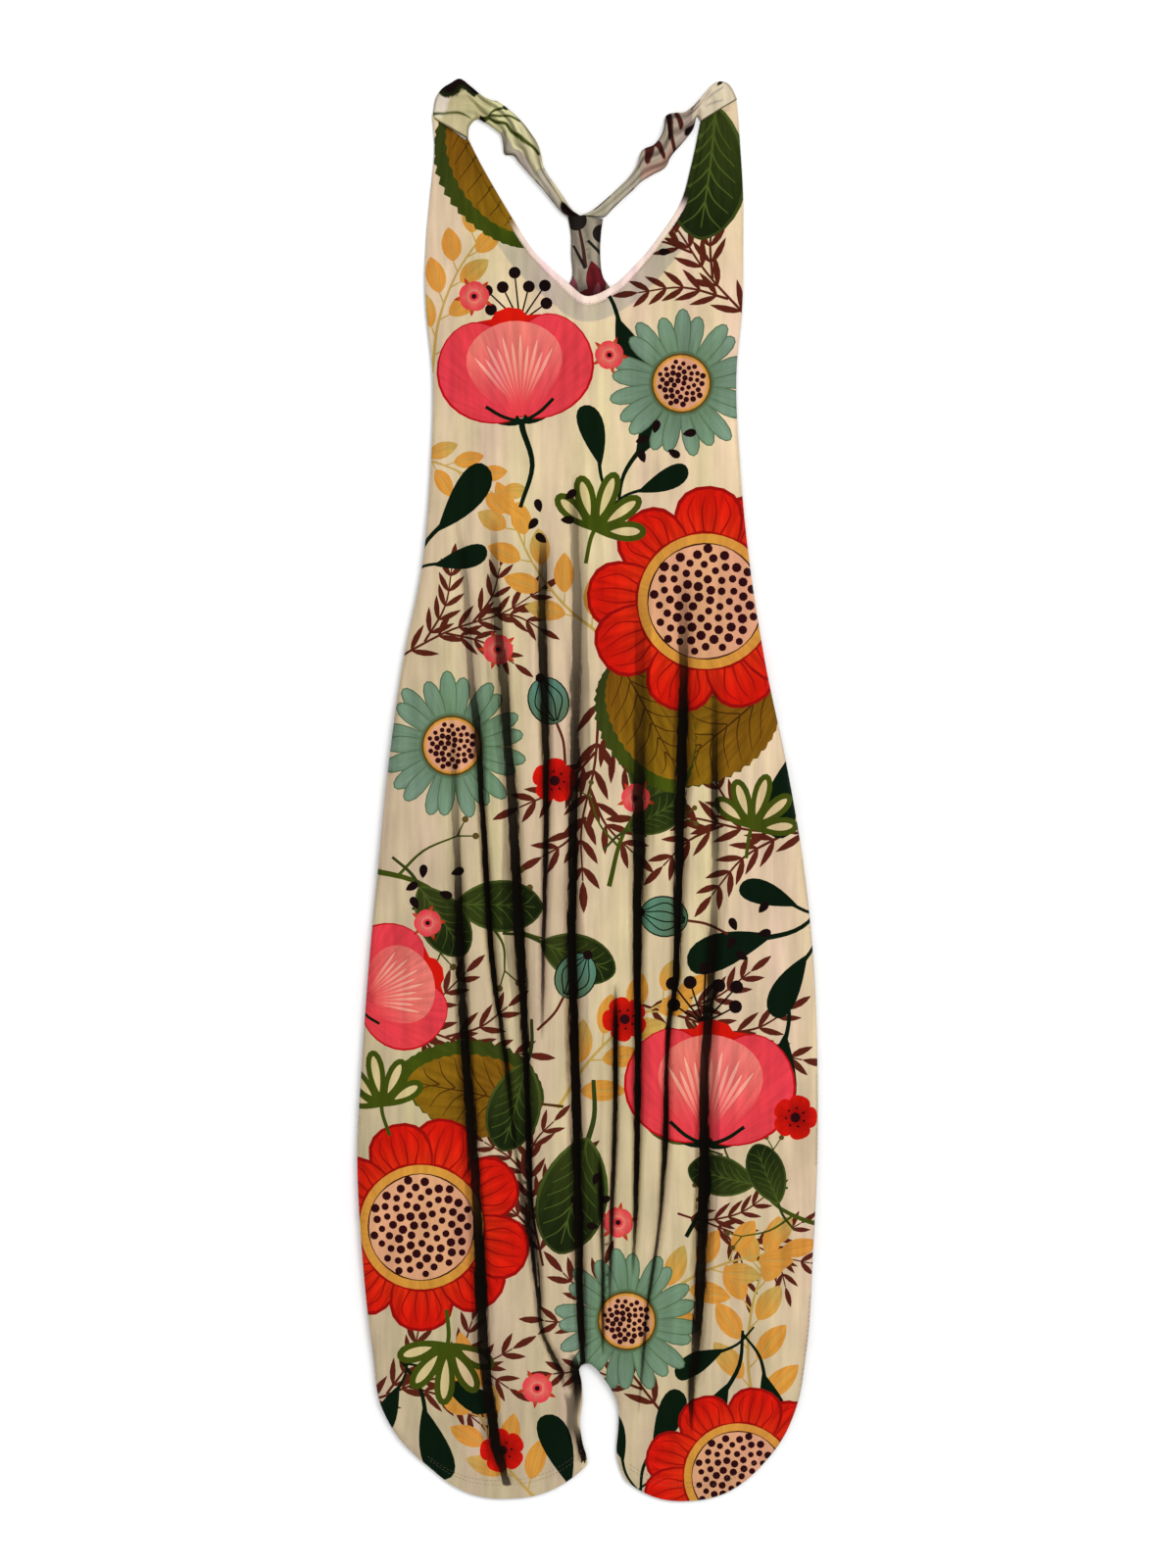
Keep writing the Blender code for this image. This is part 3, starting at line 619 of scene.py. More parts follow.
def disc(radius, steps=16, wobble=0.0, lobes=5):
    """A round outline, with lobes if it wobbles."""
    turn = np.arange(steps) * 2 * np.pi / steps
    r = radius * (1 + wobble * np.cos(lobes * turn))
    return np.column_stack([r * np.cos(turn), r * np.sin(turn)])


def stem_shape(points, start, end):
    """A tapering stem through the points."""
    line = rounded(points, 5) if len(points) > 2 else np.asarray(points, float)
    width = np.linspace(start, end, len(line))[:, None] / 2
    side = normals_of(line) * width
    return np.concatenate([line + side, (line - side)[::-1]])


class Drawing:
    """Marks on the cloth, the later ones over the earlier ones."""

    def __init__(self):
        self.marks = []
        self.place(0, 0, 0, 1)

    def place(self, x, y, turn, size):
        """The frame of the motif that comes next."""
        self.x, self.y, self.turn, self.size = x, y, turn, size

    def add(self, outline, root, tip=None, at=(0, 0), turn=0, reach=1, strokes=0.0):
        """A shape in one dye, or shading from one to another along its own length."""
        shift = np.array([self.x, self.y])
        moved = turned(turned(outline, turn) + np.asarray(at, float), self.turn) * self.size
        origin = turned(at, self.turn) * self.size + shift
        colours = linear(root), linear(tip or root)
        total = math.radians(self.turn + turn)
        self.marks.append(
            Mark(moved + shift, *colours, origin, total, reach * self.size, strokes)
        )

    def blade(self, length, width, root, tip=None, at=(0, 0), turn=0, strokes=0.0, **shape):
        """A petal or leaf, shaded along its length."""
        self.add(blade(length, width, **shape), root, tip, at, turn, length, strokes)

    def stem(self, points, start, end, dye):
        self.add(stem_shape(points, start, end), dye)

    def seeds(self, radius, count, size, dye):
        """Round seeds packed in a spiral."""
        for k in range(count):
            turn, r = k * 2.39996, radius * math.sqrt((k + 0.5) / count)
            grain = size * (0.88 + 0.12 * math.sin(k * 2.3))
            self.add(disc(grain, 8), dye, at=(r * math.cos(turn), r * math.sin(turn)))


def bloom(draw):
    """A big flower of round, ribbed petals about a seeded head, 210 across."""
    for k in range(9):
        turn = 40 * k + 5 * math.sin(2.1 * k)
        reach = 104 + 4 * math.sin(1.7 * k)
        draw.blade(reach + 3, 64, "red_deep", turn=turn, belly=0.72, blunt=0.46, steps=12)
        draw.blade(reach, 58, "orange", "red", turn=turn, belly=0.72, blunt=0.46, strokes=0.8,
                   steps=12)
        for side in (-1.5, -0.5, 0.5, 1.5):
            rib = turned([(58, 6 * side), (80, 13 * side), (reach - 7, 9.5 * side)], turn)
            draw.stem([tuple(spot) for spot in rib], 1.7, 0.8, "red_deep")
    draw.add(disc(64, 40, 0.012, 9), "red_deep")
    draw.add(disc(62, 40), "ochre", strokes=0.3)
    draw.add(disc(53.5, 36), "maroon")
    draw.add(disc(52.3, 36, 0.008, 6), "tan")
    draw.seeds(49.5, 70, 4.6, "maroon")


def daisy(draw):
    """A flower of many narrow petals, 132 across."""
    for k in range(21):
        turn = 360 / 21 * k + 3 * math.sin(3.7 * k)
        length = 65 + 3 * math.sin(2.9 * k)
        draw.blade(length + 1.2, 16.2, "teal_deep", turn=turn, belly=0.72, blunt=0.5)
        draw.blade(length, 13.8, "teal_deep", "teal", turn=turn, belly=0.72, blunt=0.5,
                   strokes=0.5)
    draw.add(disc(30, 30, 0.012, 10), "teal_deep")
    draw.add(disc(28, 28), "brown_green")
    draw.add(disc(25.8, 28), "ochre")
    draw.add(disc(23.6, 28), "tan")
    draw.seeds(21.2, 44, 2.9, "maroon")


def cup(draw):
    """A bowl-shaped flower on a stem, opening along +X, 118 high and 150 across."""
    draw.stem([(-84, 12), (-44, -5), (-8, 0), (4, 0)], 4.0, 7.0, "night")
    for k in (-2, -1, 0, 1, 2):
        draw.blade(
            112 - 6 * abs(k), 46, "pink_deep", "red", at=(4, 0), turn=17 * k, belly=0.74,
            blunt=0.42,
        )
    for side in (-1, 1):
        draw.blade(46, 17, "night", at=(0, 0), turn=66 * side, belly=0.5, blunt=0.6)
        draw.blade(
            106, 86, "pink_deep", at=(4, 7 * side), turn=35 * side, belly=0.58, blunt=0.5,
            bend=-0.13 * side, steps=14,
        )
        draw.blade(
            104, 82, "pink", at=(5, 7 * side), turn=35 * side, belly=0.58, blunt=0.5,
            bend=-0.13 * side, strokes=0.35, steps=14,
        )
    draw.blade(96, 96, "pink", "pink_pale", at=(6, 0), belly=0.6, blunt=0.55, strokes=0.5,
               steps=16)
    for k in range(11):
        reach = 80 - 1.6 * abs(k - 5) - 9 * (k % 2)
        draw.blade(reach, 3.4, "pink", "blush_pale", at=(10, 0), turn=6.6 * (k - 5), belly=0.7,
                   blunt=0.8)
    draw.stem([(20, -34), (8, -18), (2, 0), (8, 18), (20, 34)], 3.4, 3.4, "night")


def stamens(draw):
    """Dark heads on fine stalks, fanned along +X."""
    for k, reach in enumerate((30, 41, 34, 46, 36, 42, 29)):
        far = turned([(reach, 0)], -60 + 20 * k)[0]
        draw.stem([(0, 0), tuple(far)], 1.8, 1.4, "soil")
        draw.add(disc(5.6, 12), "soil", at=tuple(far))


def blossom(draw):
    """A small round flower, 27 across."""
    for k in range(5):
        draw.blade(19, 5, "straw", "pink_deep", turn=72 * k + 36, belly=0.5)
    for k in range(5):
        draw.blade(14, 14, "blush", "pink", turn=72 * k, belly=0.62, blunt=0.42)
    draw.add(disc(6.8, 12), "blush")
    draw.add(disc(4.6, 10), "pink")
    draw.add(disc(2.5, 8), "maroon")


def poppy(draw):
    """A small red flower, 44 across."""
    for k in range(5):
        draw.blade(23, 22, "red_deep", "red", turn=72 * k, belly=0.64, blunt=0.42, strokes=0.5)
    draw.add(disc(5.2, 10), "maroon")
    for k in range(7):
        draw.add(disc(1.3, 6), "soil", at=tuple(turned([(9.5, 0)], 51.4 * k + 30)[0]))


def broad_leaf(draw):
    """A toothed leaf in two tones along +X, 150 long."""
    draw.add(blade(150, 98, belly=0.44, blunt=0.74, teeth=0.075, steps=44), "leaf", "moss",
             reach=150, strokes=0.5)
    draw.add(blade(136, 82, belly=0.46, blunt=0.62, teeth=0.05, steps=38), "olive_deep", "olive",
             at=(1, 7), reach=136, strokes=0.8)
    draw.stem([(-20, 0), (40, 5), (128, 7)], 3.0, 0.9, "olive_dark")
    for k in range(7):
        for side in (-1, 1):
            rise = side * (35 - 1.3 * (k - 2) ** 2)
            start, end = (9 + 16 * k, 4), (40 + 14 * k, 5 + rise)
            draw.stem([start, (25 + 15.6 * k, 4 + 0.40 * rise), end], 1.7, 0.6, "olive_dark")


def veined_leaf(draw):
    """A dark oval leaf on a stem along +X, 90 long."""
    draw.stem([(-42, -6), (-16, 1), (10, 0)], 3.0, 4.2, "leaf")
    draw.blade(88, 52, "leaf_line", "leaf", belly=0.55, blunt=0.6, steps=14)
    draw.blade(84, 47, "leaf", "leaf_deep", at=(2, 0), belly=0.56, blunt=0.6, strokes=0.7,
               steps=14)
    draw.stem([(0, 0), (40, 1), (80, 0)], 2.0, 0.7, "leaf_line")
    for k in range(6):
        for side in (-1, 1):
            rise = side * (18.5 - 0.9 * (k - 2.4) ** 2)
            start, end = (8 + 11 * k, 0.5), (28 + 10.2 * k, rise)
            draw.stem([start, (18 + 10.8 * k, 0.36 * rise), end], 1.3, 0.6, "leaf_line")


def paddle(draw):
    """A smooth dark leaf like a drop on a fine stem along +X, 112 long."""
    draw.stem([(-44, -12), (-12, 1), (26, 0)], 2.8, 5, "night")
    draw.blade(80, 32, "night", at=(6, 0), belly=0.7, blunt=0.45, bend=0.08, steps=12)


def paddles(draw):
    """Three smooth dark leaves from one stem, 150 long."""
    x, y, turn, size = draw.x, draw.y, draw.turn, draw.size
    for spread, scale, reach in ((0, 1.0, 44), (42, 0.78, 30), (-38, 0.68, 26)):
        step = turned([(reach, 0)], turn + spread)[0] * size
        draw.place(x + step[0], y + step[1], turn + spread, size * scale)
        paddle(draw)
    draw.place(x, y, turn, size)


def branch(draw):
    """A forking stem with veined leaves and bud tips along +X, 190 long."""
    x, y, turn, size = draw.x, draw.y, draw.turn, draw.size
    draw.stem([(-20, -12), (40, 6), (100, 2), (168, 14)], 5.6, 2.2, "moss")
    forks = ((24, 2, 62, 66), (52, 6, -50, 62), (92, 2, 56, 50), (118, 4, -44, 46))
    for x0, y0, way, length in forks:
        end = np.array([x0, y0]) + turned([(length, 0)], way)[0]
        middle = (np.array([x0, y0]) + end) / 2 + turned([(0, 6)], way)[0]
        draw.stem([(x0, y0), tuple(middle), tuple(end)], 3.0, 1.5, "moss")
        for spread in (-34, 30):
            far = end + turned([(17, 0)], way + spread)[0]
            draw.stem([tuple(end), tuple(far)], 1.6, 1.2, "moss")
            draw.add(disc(3.2, 8), "brown_green", at=tuple(far))
    for x0, y0, way, scale in ((66, 4, 26, 0.92), (30, 3, -28, 0.86), (150, 10, 6, 0.84)):
        root = (x0 + 18 * math.cos(math.radians(way)), y0)
        spot = np.array([x, y]) + turned([root], turn)[0] * size
        draw.place(*spot, turn + way, size * scale)
        veined_leaf(draw)
        draw.place(x, y, turn, size)


def spray(draw):
    """Ochre leaflets along a curved stem, 180 long."""
    bends = [(-24, -8), (30, 4), (84, 3), (136, -10)]
    line = rounded(bends, 6)
    draw.stem(bends, 3.4, 1.7, "straw")
    for k in range(8):
        side = 1 if k % 2 else -1
        x, y = line[2 + 2 * k]
        root = (x + 9, y + side * 8)
        turn = side * (40 - 3 * k)
        draw.stem([(x, y), root], 1.7, 1.3, "straw")
        draw.blade(44 - 1.6 * k, 21, "ochre", "straw" if k % 3 == 1 else "ochre", at=root,
                   turn=turn, belly=0.46, blunt=0.85, strokes=0.5, bend=0.06 * side)
        draw.blade(40 - 1.6 * k, 1.5, "straw", at=root, turn=turn, bend=0.06 * side, steps=3)
    draw.blade(38, 18, "ochre", at=(134, -10), turn=-14, belly=0.46, blunt=0.85, strokes=0.5)


def twig(draw, points, pairs, length, dye):
    """A stem with narrow leaflets in pairs and one at its tip."""
    line = rounded(points, 8)
    headings = np.degrees(np.arctan2(*np.gradient(line, axis=0).T[::-1]))
    draw.stem(points, 3.0, 1.5, dye)
    for k in range(pairs):
        i = round((k + 0.7) / (pairs + 0.4) * (len(line) - 1))
        for hand in (-1, 1):
            draw.blade(length * (1 - 0.26 * k / pairs), 0.22 * length, dye, at=tuple(line[i]),
                       turn=headings[i] + 42 * hand, belly=0.46, bend=-0.12 * hand, steps=6)
    draw.blade(0.9 * length, 0.24 * length, dye, at=tuple(line[-1]), turn=headings[-1], steps=6)


def fern(draw):
    """A twig of narrow leaflets with side twigs along +X, 190 long."""
    twig(draw, [(-20, -2), (50, 4), (110, 0), (160, 8)], 7, 33, "rust")
    sides = ((16, 48, 92, 5), (42, -46, 86, 4), (76, 42, 70, 3), (102, -40, 54, 2))
    for x, way, length, pairs in sides:
        middle = turned([(length / 2, -0.09 * math.copysign(length, way))], way)[0]
        end = turned([(length, 0)], way)[0]
        twig(draw, [(x, 3), (x + middle[0], 3 + middle[1]), (x + end[0], 3 + end[1])], pairs, 30,
             "rust")


def loops(draw):
    """A sprig of open, outlined leaves along +X, 66 long."""
    draw.stem([(-30, -5), (-8, 0), (6, 0)], 3.6, 4.0, "moss")
    for k, turn in enumerate((-66, -30, 4, 38, 70)):
        length = 58 - 5 * abs(k - 2)
        draw.blade(length, 19, "moss", turn=turn, belly=0.66, blunt=0.5)
        draw.blade(length - 21, 8, "straw_pale", at=tuple(turned([(15, 0)], turn)[0]), turn=turn,
                   belly=0.6, blunt=0.6)


def bud(draw):
    """A round ribbed bud on a stalk along +X, 50 long."""
    draw.stem([(-40, 6), (-18, 0), (0, 0)], 2.6, 2.6, "rust")
    draw.blade(47, 40, "night", belly=0.5, blunt=0.5, steps=12)
    draw.blade(45, 37, "teal_deep", "teal_bud", at=(1, 0), belly=0.5, blunt=0.5, steps=12)
    for side in (-1.4, -0.5, 0.5, 1.4):
        draw.stem([(3, 1.2 * side), (23, 9.5 * side), (44, 1.5 * side)], 1.5, 1.1, "night")
    draw.add(disc(4.8, 8), "soil", at=(47, 0))


def pips(draw):
    """A handful of loose dark seeds."""
    for x, y, turn in ((0, 0, 20), (19, 9, 75), (33, -8, -30), (9, -21, 110), (48, 8, 10)):
        draw.blade(14, 8.6, "soil", at=(x, y), turn=turn, belly=0.62, blunt=0.5, steps=6)


def bar_print(draw):
    """Dark stems and round seeds over a deep red flower, along +X, 80 long."""
    draw.add(disc(31, 24, 0.04, 7), "wine", at=(-51, -5))
    draw.blade(40, 18, "wine", at=(-34, -12), turn=12, belly=0.5)
    draw.blade(26, 12, "wine_pale", at=(-32, 13), turn=8, belly=0.5)
    draw.blade(22, 7, "wine_pale", at=(-36, -7), turn=-8, belly=0.5)
    draw.stem([(-1, 2), (16, 4), (36, 8)], 4.0, 2.4, "rust")
    draw.stem([(-2, 2), (8, 7), (19, 13)], 3.0, 2.2, "soil")
    draw.add(disc(9.5, 16), "soil", at=(42, 10))
    draw.add(disc(8.5, 16), "soil", at=(30, -13))


# The motifs, the lower ones first: what each is, then the place, the way it points in degrees
# and the scale of every one of them
FRONT_PRINT = (
    (
        fern,
        (140, 440, 128, 0.9), (-160, 128, 22, 0.8), (10, 76, -98, 1.0), (196, -40, 172, 0.95),
        (-196, -210, -16, 0.9), (60, -560, 122, 0.9), (-196, -560, 18, 0.85),
        (96, -392, -24, 0.72), (60, -200, -22, 0.9), (-44, -420, 96, 0.8),
    ),
    (
        spray,
        (-142, 404, 70, 0.88), (-2, 150, 128, 0.9), (-164, 306, -22, 0.72), (150, -560, 88, 1.0),
        (58, -470, 26, 0.95), (-16, -270, 44, 0.95), (-60, -640, 118, 0.9),
    ),
    (branch, (-196, -70, -28, 1.0), (20, -70, 58, 0.8), (204, -400, 140, 0.78)),
    (
        paddles,
        (-170, 200, 48, 0.95), (18, 262, 58, 0.95), (152, -500, -118, 0.95),
        (-160, -520, -78, 0.9), (222, -120, -166, 1.05), (40, -644, 62, 0.8),
    ),
    (paddle, (-14, -646, 104, 0.9)),
    (veined_leaf, (0, -318, -104, 1.25)),
    (paddle, (190, 40, -106, 1.0), (24, 440, -70, 0.9), (182, -216, -98, 0.9)),
    (
        broad_leaf,
        (168, 96, -142, 0.95), (26, 118, -64, 0.9), (-40, -286, 168, 0.92), (-118, 634, -66, 1.0),
    ),
    (veined_leaf, (118, 628, -97, 1.42), (-56, -250, 255, 0.95)),
    (bloom, (108, 172, 12, 1.0), (-152, -400, 30, 0.92), (138, -630, 0, 0.8)),
    (stamens, (-62, 428, 96, 1.0), (106, -214, 88, 1.1)),
    (cup, (-60, 336, 97, 0.92), (108, -326, 86, 1.0), (-214, -196, 22, 0.76)),
    (daisy, (86, 372, 4, 1.0), (-124, 40, 9, 1.0), (36, -486, 14, 0.98)),
    (bud, (-28, 60, 110, 0.95), (92, -120, 170, 0.95), (-22, -190, 60, 0.95)),
    (loops, (6, 236, 66, 1.0), (150, -36, 70, 0.9), (-188, -290, 96, 0.9), (-128, -506, 262, 1.0)),
    (
        blossom,
        (-104, 452, 10, 1.0), (20, 398, 30, 0.95), (-82, 128, 0, 1.0), (44, -8, 20, 0.95),
        (28, -396, 45, 1.0), (-46, -548, 10, 1.0), (-146, -122, 40, 0.9),
    ),
    (poppy, (-30, 8, 15, 0.9), (34, -210, 40, 0.9), (190, -300, 0, 0.9), (-78, -606, 33, 0.9)),
    (
        pips,
        (44, 318, 0, 0.9), (-54, 238, 30, 0.9), (128, -146, 40, 0.9), (-166, -92, 10, 0.9),
        (-8, -398, 60, 0.8), (58, 492, 70, 0.8),
    ),
)
BAR_PRINT = ((bar_print, (0, 480, 90, 1.0)),)


def printed(motifs, shift=(0, 0)):
    """The marks of a table of motifs."""
    draw = Drawing()
    for make, *places in motifs:
        for x, y, turn, size in places:
            draw.place(x + shift[0], y + shift[1], turn, size)
            make(draw)
    return draw.marks


# Meshes


def split(ring, reach):
    """A closed outline with no side longer than reach."""
    after = np.roll(ring, -1, axis=0)
    parts = np.maximum(1, np.ceil(np.linalg.norm(after - ring, axis=1) / reach)).astype(int)
    return np.concatenate(
        [a + (b - a) * (np.arange(n) / n)[:, None] for a, b, n in zip(ring, after, parts)]
    )


def triangulated(outline, inner, marks, lines=()):
    """The plane inside the outline in triangles that follow the marks and lines.

    Gives the points, the triangles, and the number of the mark on top of each, -1 for none.
    """
    points = [*map(tuple, outline), *map(tuple, inner)]
    edges = []
    for mark in marks:
        edge = split(mark.edge, LONGEST_SIDE)
        ring = range(len(points), len(points) + len(edge))
        edges += [(i, i + 1) for i in ring[:-1]] + [(ring[-1], ring[0])]
        points.extend(map(tuple, edge))
    for line in lines:
        edges += [(len(points) + i, len(points) + i + 1) for i in range(len(line) - 1)]
        points.extend(map(tuple, line))
    flat = [Vector(point) for point in points]
    found = delaunay_2d_cdt(flat, edges, [list(range(len(outline)))], 1, 1e-4, False)
    places = np.array([tuple(point) for point in found[0]])
    triangles = np.array(found[2])
    centres = places[triangles].mean(axis=1)
    triangles = triangles[inside(centres, outline)]
    a, b, c = (places[triangles[:, i]] for i in range(3))
    area = (b[:, 0] - a[:, 0]) * (c[:, 1] - a[:, 1]) - (b[:, 1] - a[:, 1]) * (c[:, 0] - a[:, 0])
    triangles[area < 0] = triangles[area < 0][:, ::-1]
    triangles = triangles[np.argsort(places[triangles].mean(axis=1)[:, 1])]
    centres = places[triangles].mean(axis=1)
    tops = np.full(len(triangles), -1)
    for number, mark in enumerate(marks):
        low, high = mark.edge.min(axis=0), mark.edge.max(axis=0)
        start, end = np.searchsorted(centres[:, 1], [low[1], high[1]])
        near = start + np.flatnonzero(
            (centres[start:end, 0] > low[0]) & (centres[start:end, 0] < high[0])
        )
        tops[near[inside(centres[near], mark.edge)]] = number
    used, packed = np.unique(triangles, return_inverse=True)
    return places[used], packed.reshape(-1, 3), tops


def rim(triangles):
    """The points round the one outer edge of a patch of triangles, in order."""
    ahead = np.concatenate([triangles[:, [0, 1]], triangles[:, [1, 2]], triangles[:, [2, 0]]])
    pairs = {(a, b) for a, b in ahead.tolist()}
    after = {a: b for a, b in pairs if (b, a) not in pairs}
    start = next(iter(after))
    loop = [start]
    while after[loop[-1]] != start:
        loop.append(after[loop[-1]])
    return loop


def colours_at(points, triangles, tops, marks):
    """Print colours and brush strokes at each triangle's corners."""
    corners = points[triangles]
    ground = Mark(None, linear("cream_low"), linear("cream"), np.array([-205, -650]),
                  math.radians(24), 860, 0.0)
    every = [*marks, ground]
    number = np.where(tops < 0, len(marks), tops)
    origin = np.array([mark.origin for mark in every])[number][:, None]
    turn = np.array([mark.turn for mark in every])[number][:, None]
    reach = np.array([mark.reach for mark in every])[number][:, None]
    strokes = np.array([mark.strokes for mark in every])[number][:, None]
    root = np.array([mark.root for mark in every])[number][:, None]
    tip = np.array([mark.tip for mark in every])[number][:, None]
    off = corners - origin
    along = off[..., 0] * np.cos(turn) + off[..., 1] * np.sin(turn)
    across = off[..., 1] * np.cos(turn) - off[..., 0] * np.sin(turn)
    share = smooth(along / reach)[..., None]
    colours = root * (1 - share) + tip * share
    brush = np.stack([across, along, np.broadcast_to(strokes, along.shape)], axis=-1)
    return colours, brush


def grid(outline, row_step, spacing, rings, ring_step=4.5):
    """Points inside an outline: rings along its edge, and rows whose spacing follows spacing."""
    found = []
    for off in rings:
        line = spaced(np.concatenate([outline, outline[:1]]), ring_step)[:-1]
        ahead = np.roll(line, -1, axis=0) - np.roll(line, 1, axis=0)
        ahead /= np.linalg.norm(ahead, axis=1)[:, None]
        moved = line + np.column_stack([-ahead[:, 1], ahead[:, 0]]) * off
        keep = inside(moved, outline) & (distance_to(moved, outline, True) > 0.93 * off)
        found.append(moved[keep])
    low, high = outline.min(axis=0), outline.max(axis=0)
    rows = []
    for number, y in enumerate(np.arange(low[1] + row_step / 2, high[1], row_step)):
        x = np.linspace(low[0], high[0], 900)
        count = np.concatenate([[0], np.cumsum((x[1:] - x[:-1]) / spacing(x[1:], y))])
        places = np.arange(0.5 * (number % 2), count[-1], 1)
        rows.append(np.column_stack([np.interp(places, count, x), np.full(len(places), y)]))
    rows = np.concatenate(rows)
    rows = rows[inside(rows, outline)]
    rows = rows[distance_to(rows, outline, True) > rings[-1] + 0.4 * ring_step]
    return np.concatenate([*found, rows])


def add_piece(name, points, triangles, material_numbers, materials, normals=None):
    """A mesh object in metres, from points in millimetres."""
    mesh = bpy.data.meshes.new(name)
    mesh.from_pydata((points * MM).tolist(), [], triangles.tolist())
    for material in materials:
        mesh.materials.append(material)
    mesh.polygons.foreach_set("material_index", np.asarray(material_numbers, np.int32))
    mesh.polygons.foreach_set("use_smooth", np.ones(len(triangles), bool))
    mesh.update()
    if normals is not None:
        mesh.normals_split_custom_set_from_vertices(normals.tolist())
    piece = bpy.data.objects.new(name, mesh)
    bpy.context.scene.collection.objects.link(piece)
    return piece


def set_print(piece, colours, brush, core, soft):
    """Stores a piece's print and painted shading as attributes that its material reads."""
    mesh = piece.data
    ink = np.concatenate([colours, np.ones((len(colours), 1))], axis=1)
    layer = mesh.attributes.new("print", "FLOAT_COLOR", "CORNER")
    layer.data.foreach_set("color", ink.astype(np.float32).ravel())
    for name, domain, values in (
        ("brush", "CORNER", brush), ("core", "POINT", core), ("soft", "POINT", soft),
    ):
        layer = mesh.attributes.new(name, "FLOAT_VECTOR", domain)
        layer.data.foreach_set("vector", values.astype(np.float32).ravel())


def plain(dark):
    """Painted shading triples for points that no crease line crosses, with a darkness at each."""
    core = np.zeros((dark.size, 3))
    core[:, 1], core[:, 2] = dark.ravel(), FAR
    soft = np.zeros((dark.size, 3))
    return core, soft


def slopes(heights, points, step=0.6):
    """Normals of a surface given by its heights over the plane."""
    here = heights(points)
    dx = (heights(points + [step, 0]) - here) / step
    dy = (heights(points + [0, step]) - here) / step
    normals = np.column_stack([-dx, -dy, np.ones(len(points))])
    return here, normals / np.linalg.norm(normals, axis=1)[:, None]


def cloth_shell(name, outline, inner, marks, upper, lower, shades, materials, lines=(),
                under_inner=None, under_marks=()):
    """A panel of cloth with its print on top, a wall's thickness and an underside."""
    if under_marks:
        flat, faces, _ = triangulated(outline, [], [*marks, *under_marks])
        outline = flat[rim(faces)]
    flat, top_faces, tops = triangulated(outline, inner, marks, lines)
    top_z, top_normals = slopes(upper, flat)
    loop = rim(top_faces)
    under_inner = inner if under_inner is None else under_inner
    under, under_faces, under_tops = triangulated(flat[loop], under_inner, under_marks)
    order = {tuple(np.round(point, 3)): i for i, point in enumerate(under)}
    under_loop = [order[tuple(np.round(flat[i], 3))] for i in loop]
    under_z, under_normals = lower(under)
    start = len(flat)
    a, b = np.array(loop), np.array(under_loop) + start
    sides = np.concatenate(
        [
            np.column_stack([a, b, np.roll(a, -1)]),
            np.column_stack([np.roll(a, -1), b, np.roll(b, -1)]),
        ]
    )
    points = np.concatenate(
        [np.column_stack([flat, top_z]), np.column_stack([under, under_z])]
    )
    triangles = np.concatenate([top_faces, under_faces[:, ::-1] + start, sides])
    numbers = np.repeat([0, 1, 0], [len(top_faces), len(under_faces), len(sides)])
    piece = add_piece(
        name, points, triangles, numbers, materials, np.concatenate([top_normals, under_normals])
    )
    colours, brush = colours_at(flat, top_faces, tops, marks)
    below, below_brush = colours_at(under, under_faces[:, ::-1], under_tops, under_marks)
    edge = np.broadcast_to(linear("cream_low"), (3 * len(sides), 3))
    colours = np.concatenate([colours.reshape(-1, 3), below.reshape(-1, 3), edge])
    still = np.zeros((3 * len(sides), 3))
    brush = np.concatenate([brush.reshape(-1, 3), below_brush.reshape(-1, 3), still])
    shading = zip(shades(flat), plain(np.zeros(len(under))))
    set_print(piece, colours, brush, *(np.concatenate(pair) for pair in shading))
    return piece


def tube(name, rings, colours, dark, material):
    """A closed piece through rings of equally many points, with a cap at each end."""
    count, size = rings.shape[:2]
    points = rings.reshape(-1, 3)
    ring, corner = np.meshgrid(np.arange(count - 1), np.arange(size), indexing="ij")
    after = (corner + 1) % size
    a, b = ring * size + corner, ring * size + after
    c, d = a + size, b + size
    walls = np.concatenate([np.stack([a, b, c], -1), np.stack([b, d, c], -1)]).reshape(-1, 3)
    fan = np.arange(1, size - 1)
    first = np.column_stack([np.zeros_like(fan), fan + 1, fan])
    last = np.column_stack([np.zeros_like(fan), fan, fan + 1]) + (count - 1) * size
    triangles = np.concatenate([walls, first, last])
    centre = points.mean(axis=0)
    p, q, r = (points[triangles[:, i]] - centre for i in range(3))
    if np.einsum("ij,ij->i", np.cross(p, q), r).sum() < 0:
        triangles = triangles[:, ::-1]
    piece = add_piece(name, points, triangles, np.zeros(len(triangles)), [material])
    flat = colours.reshape(-1, 3)[triangles.ravel()]
    brush = np.zeros((len(flat), 3))
    set_print(piece, flat, brush, *plain(dark))
    return piece


# Materials

LENGTHWISE = 0.10  # how much slower the streaks change along the cloth than across it
STROKE_ROOT = 14.0  # how far behind a mark's root its brush strokes meet
STROKES = 17.0  # strokes in one radian
STROKE_CHANGE = 0.022  # how fast a stroke changes along itself
WAVE_BANDS = 20  # bands of the wave texture in one unit, at scale 1


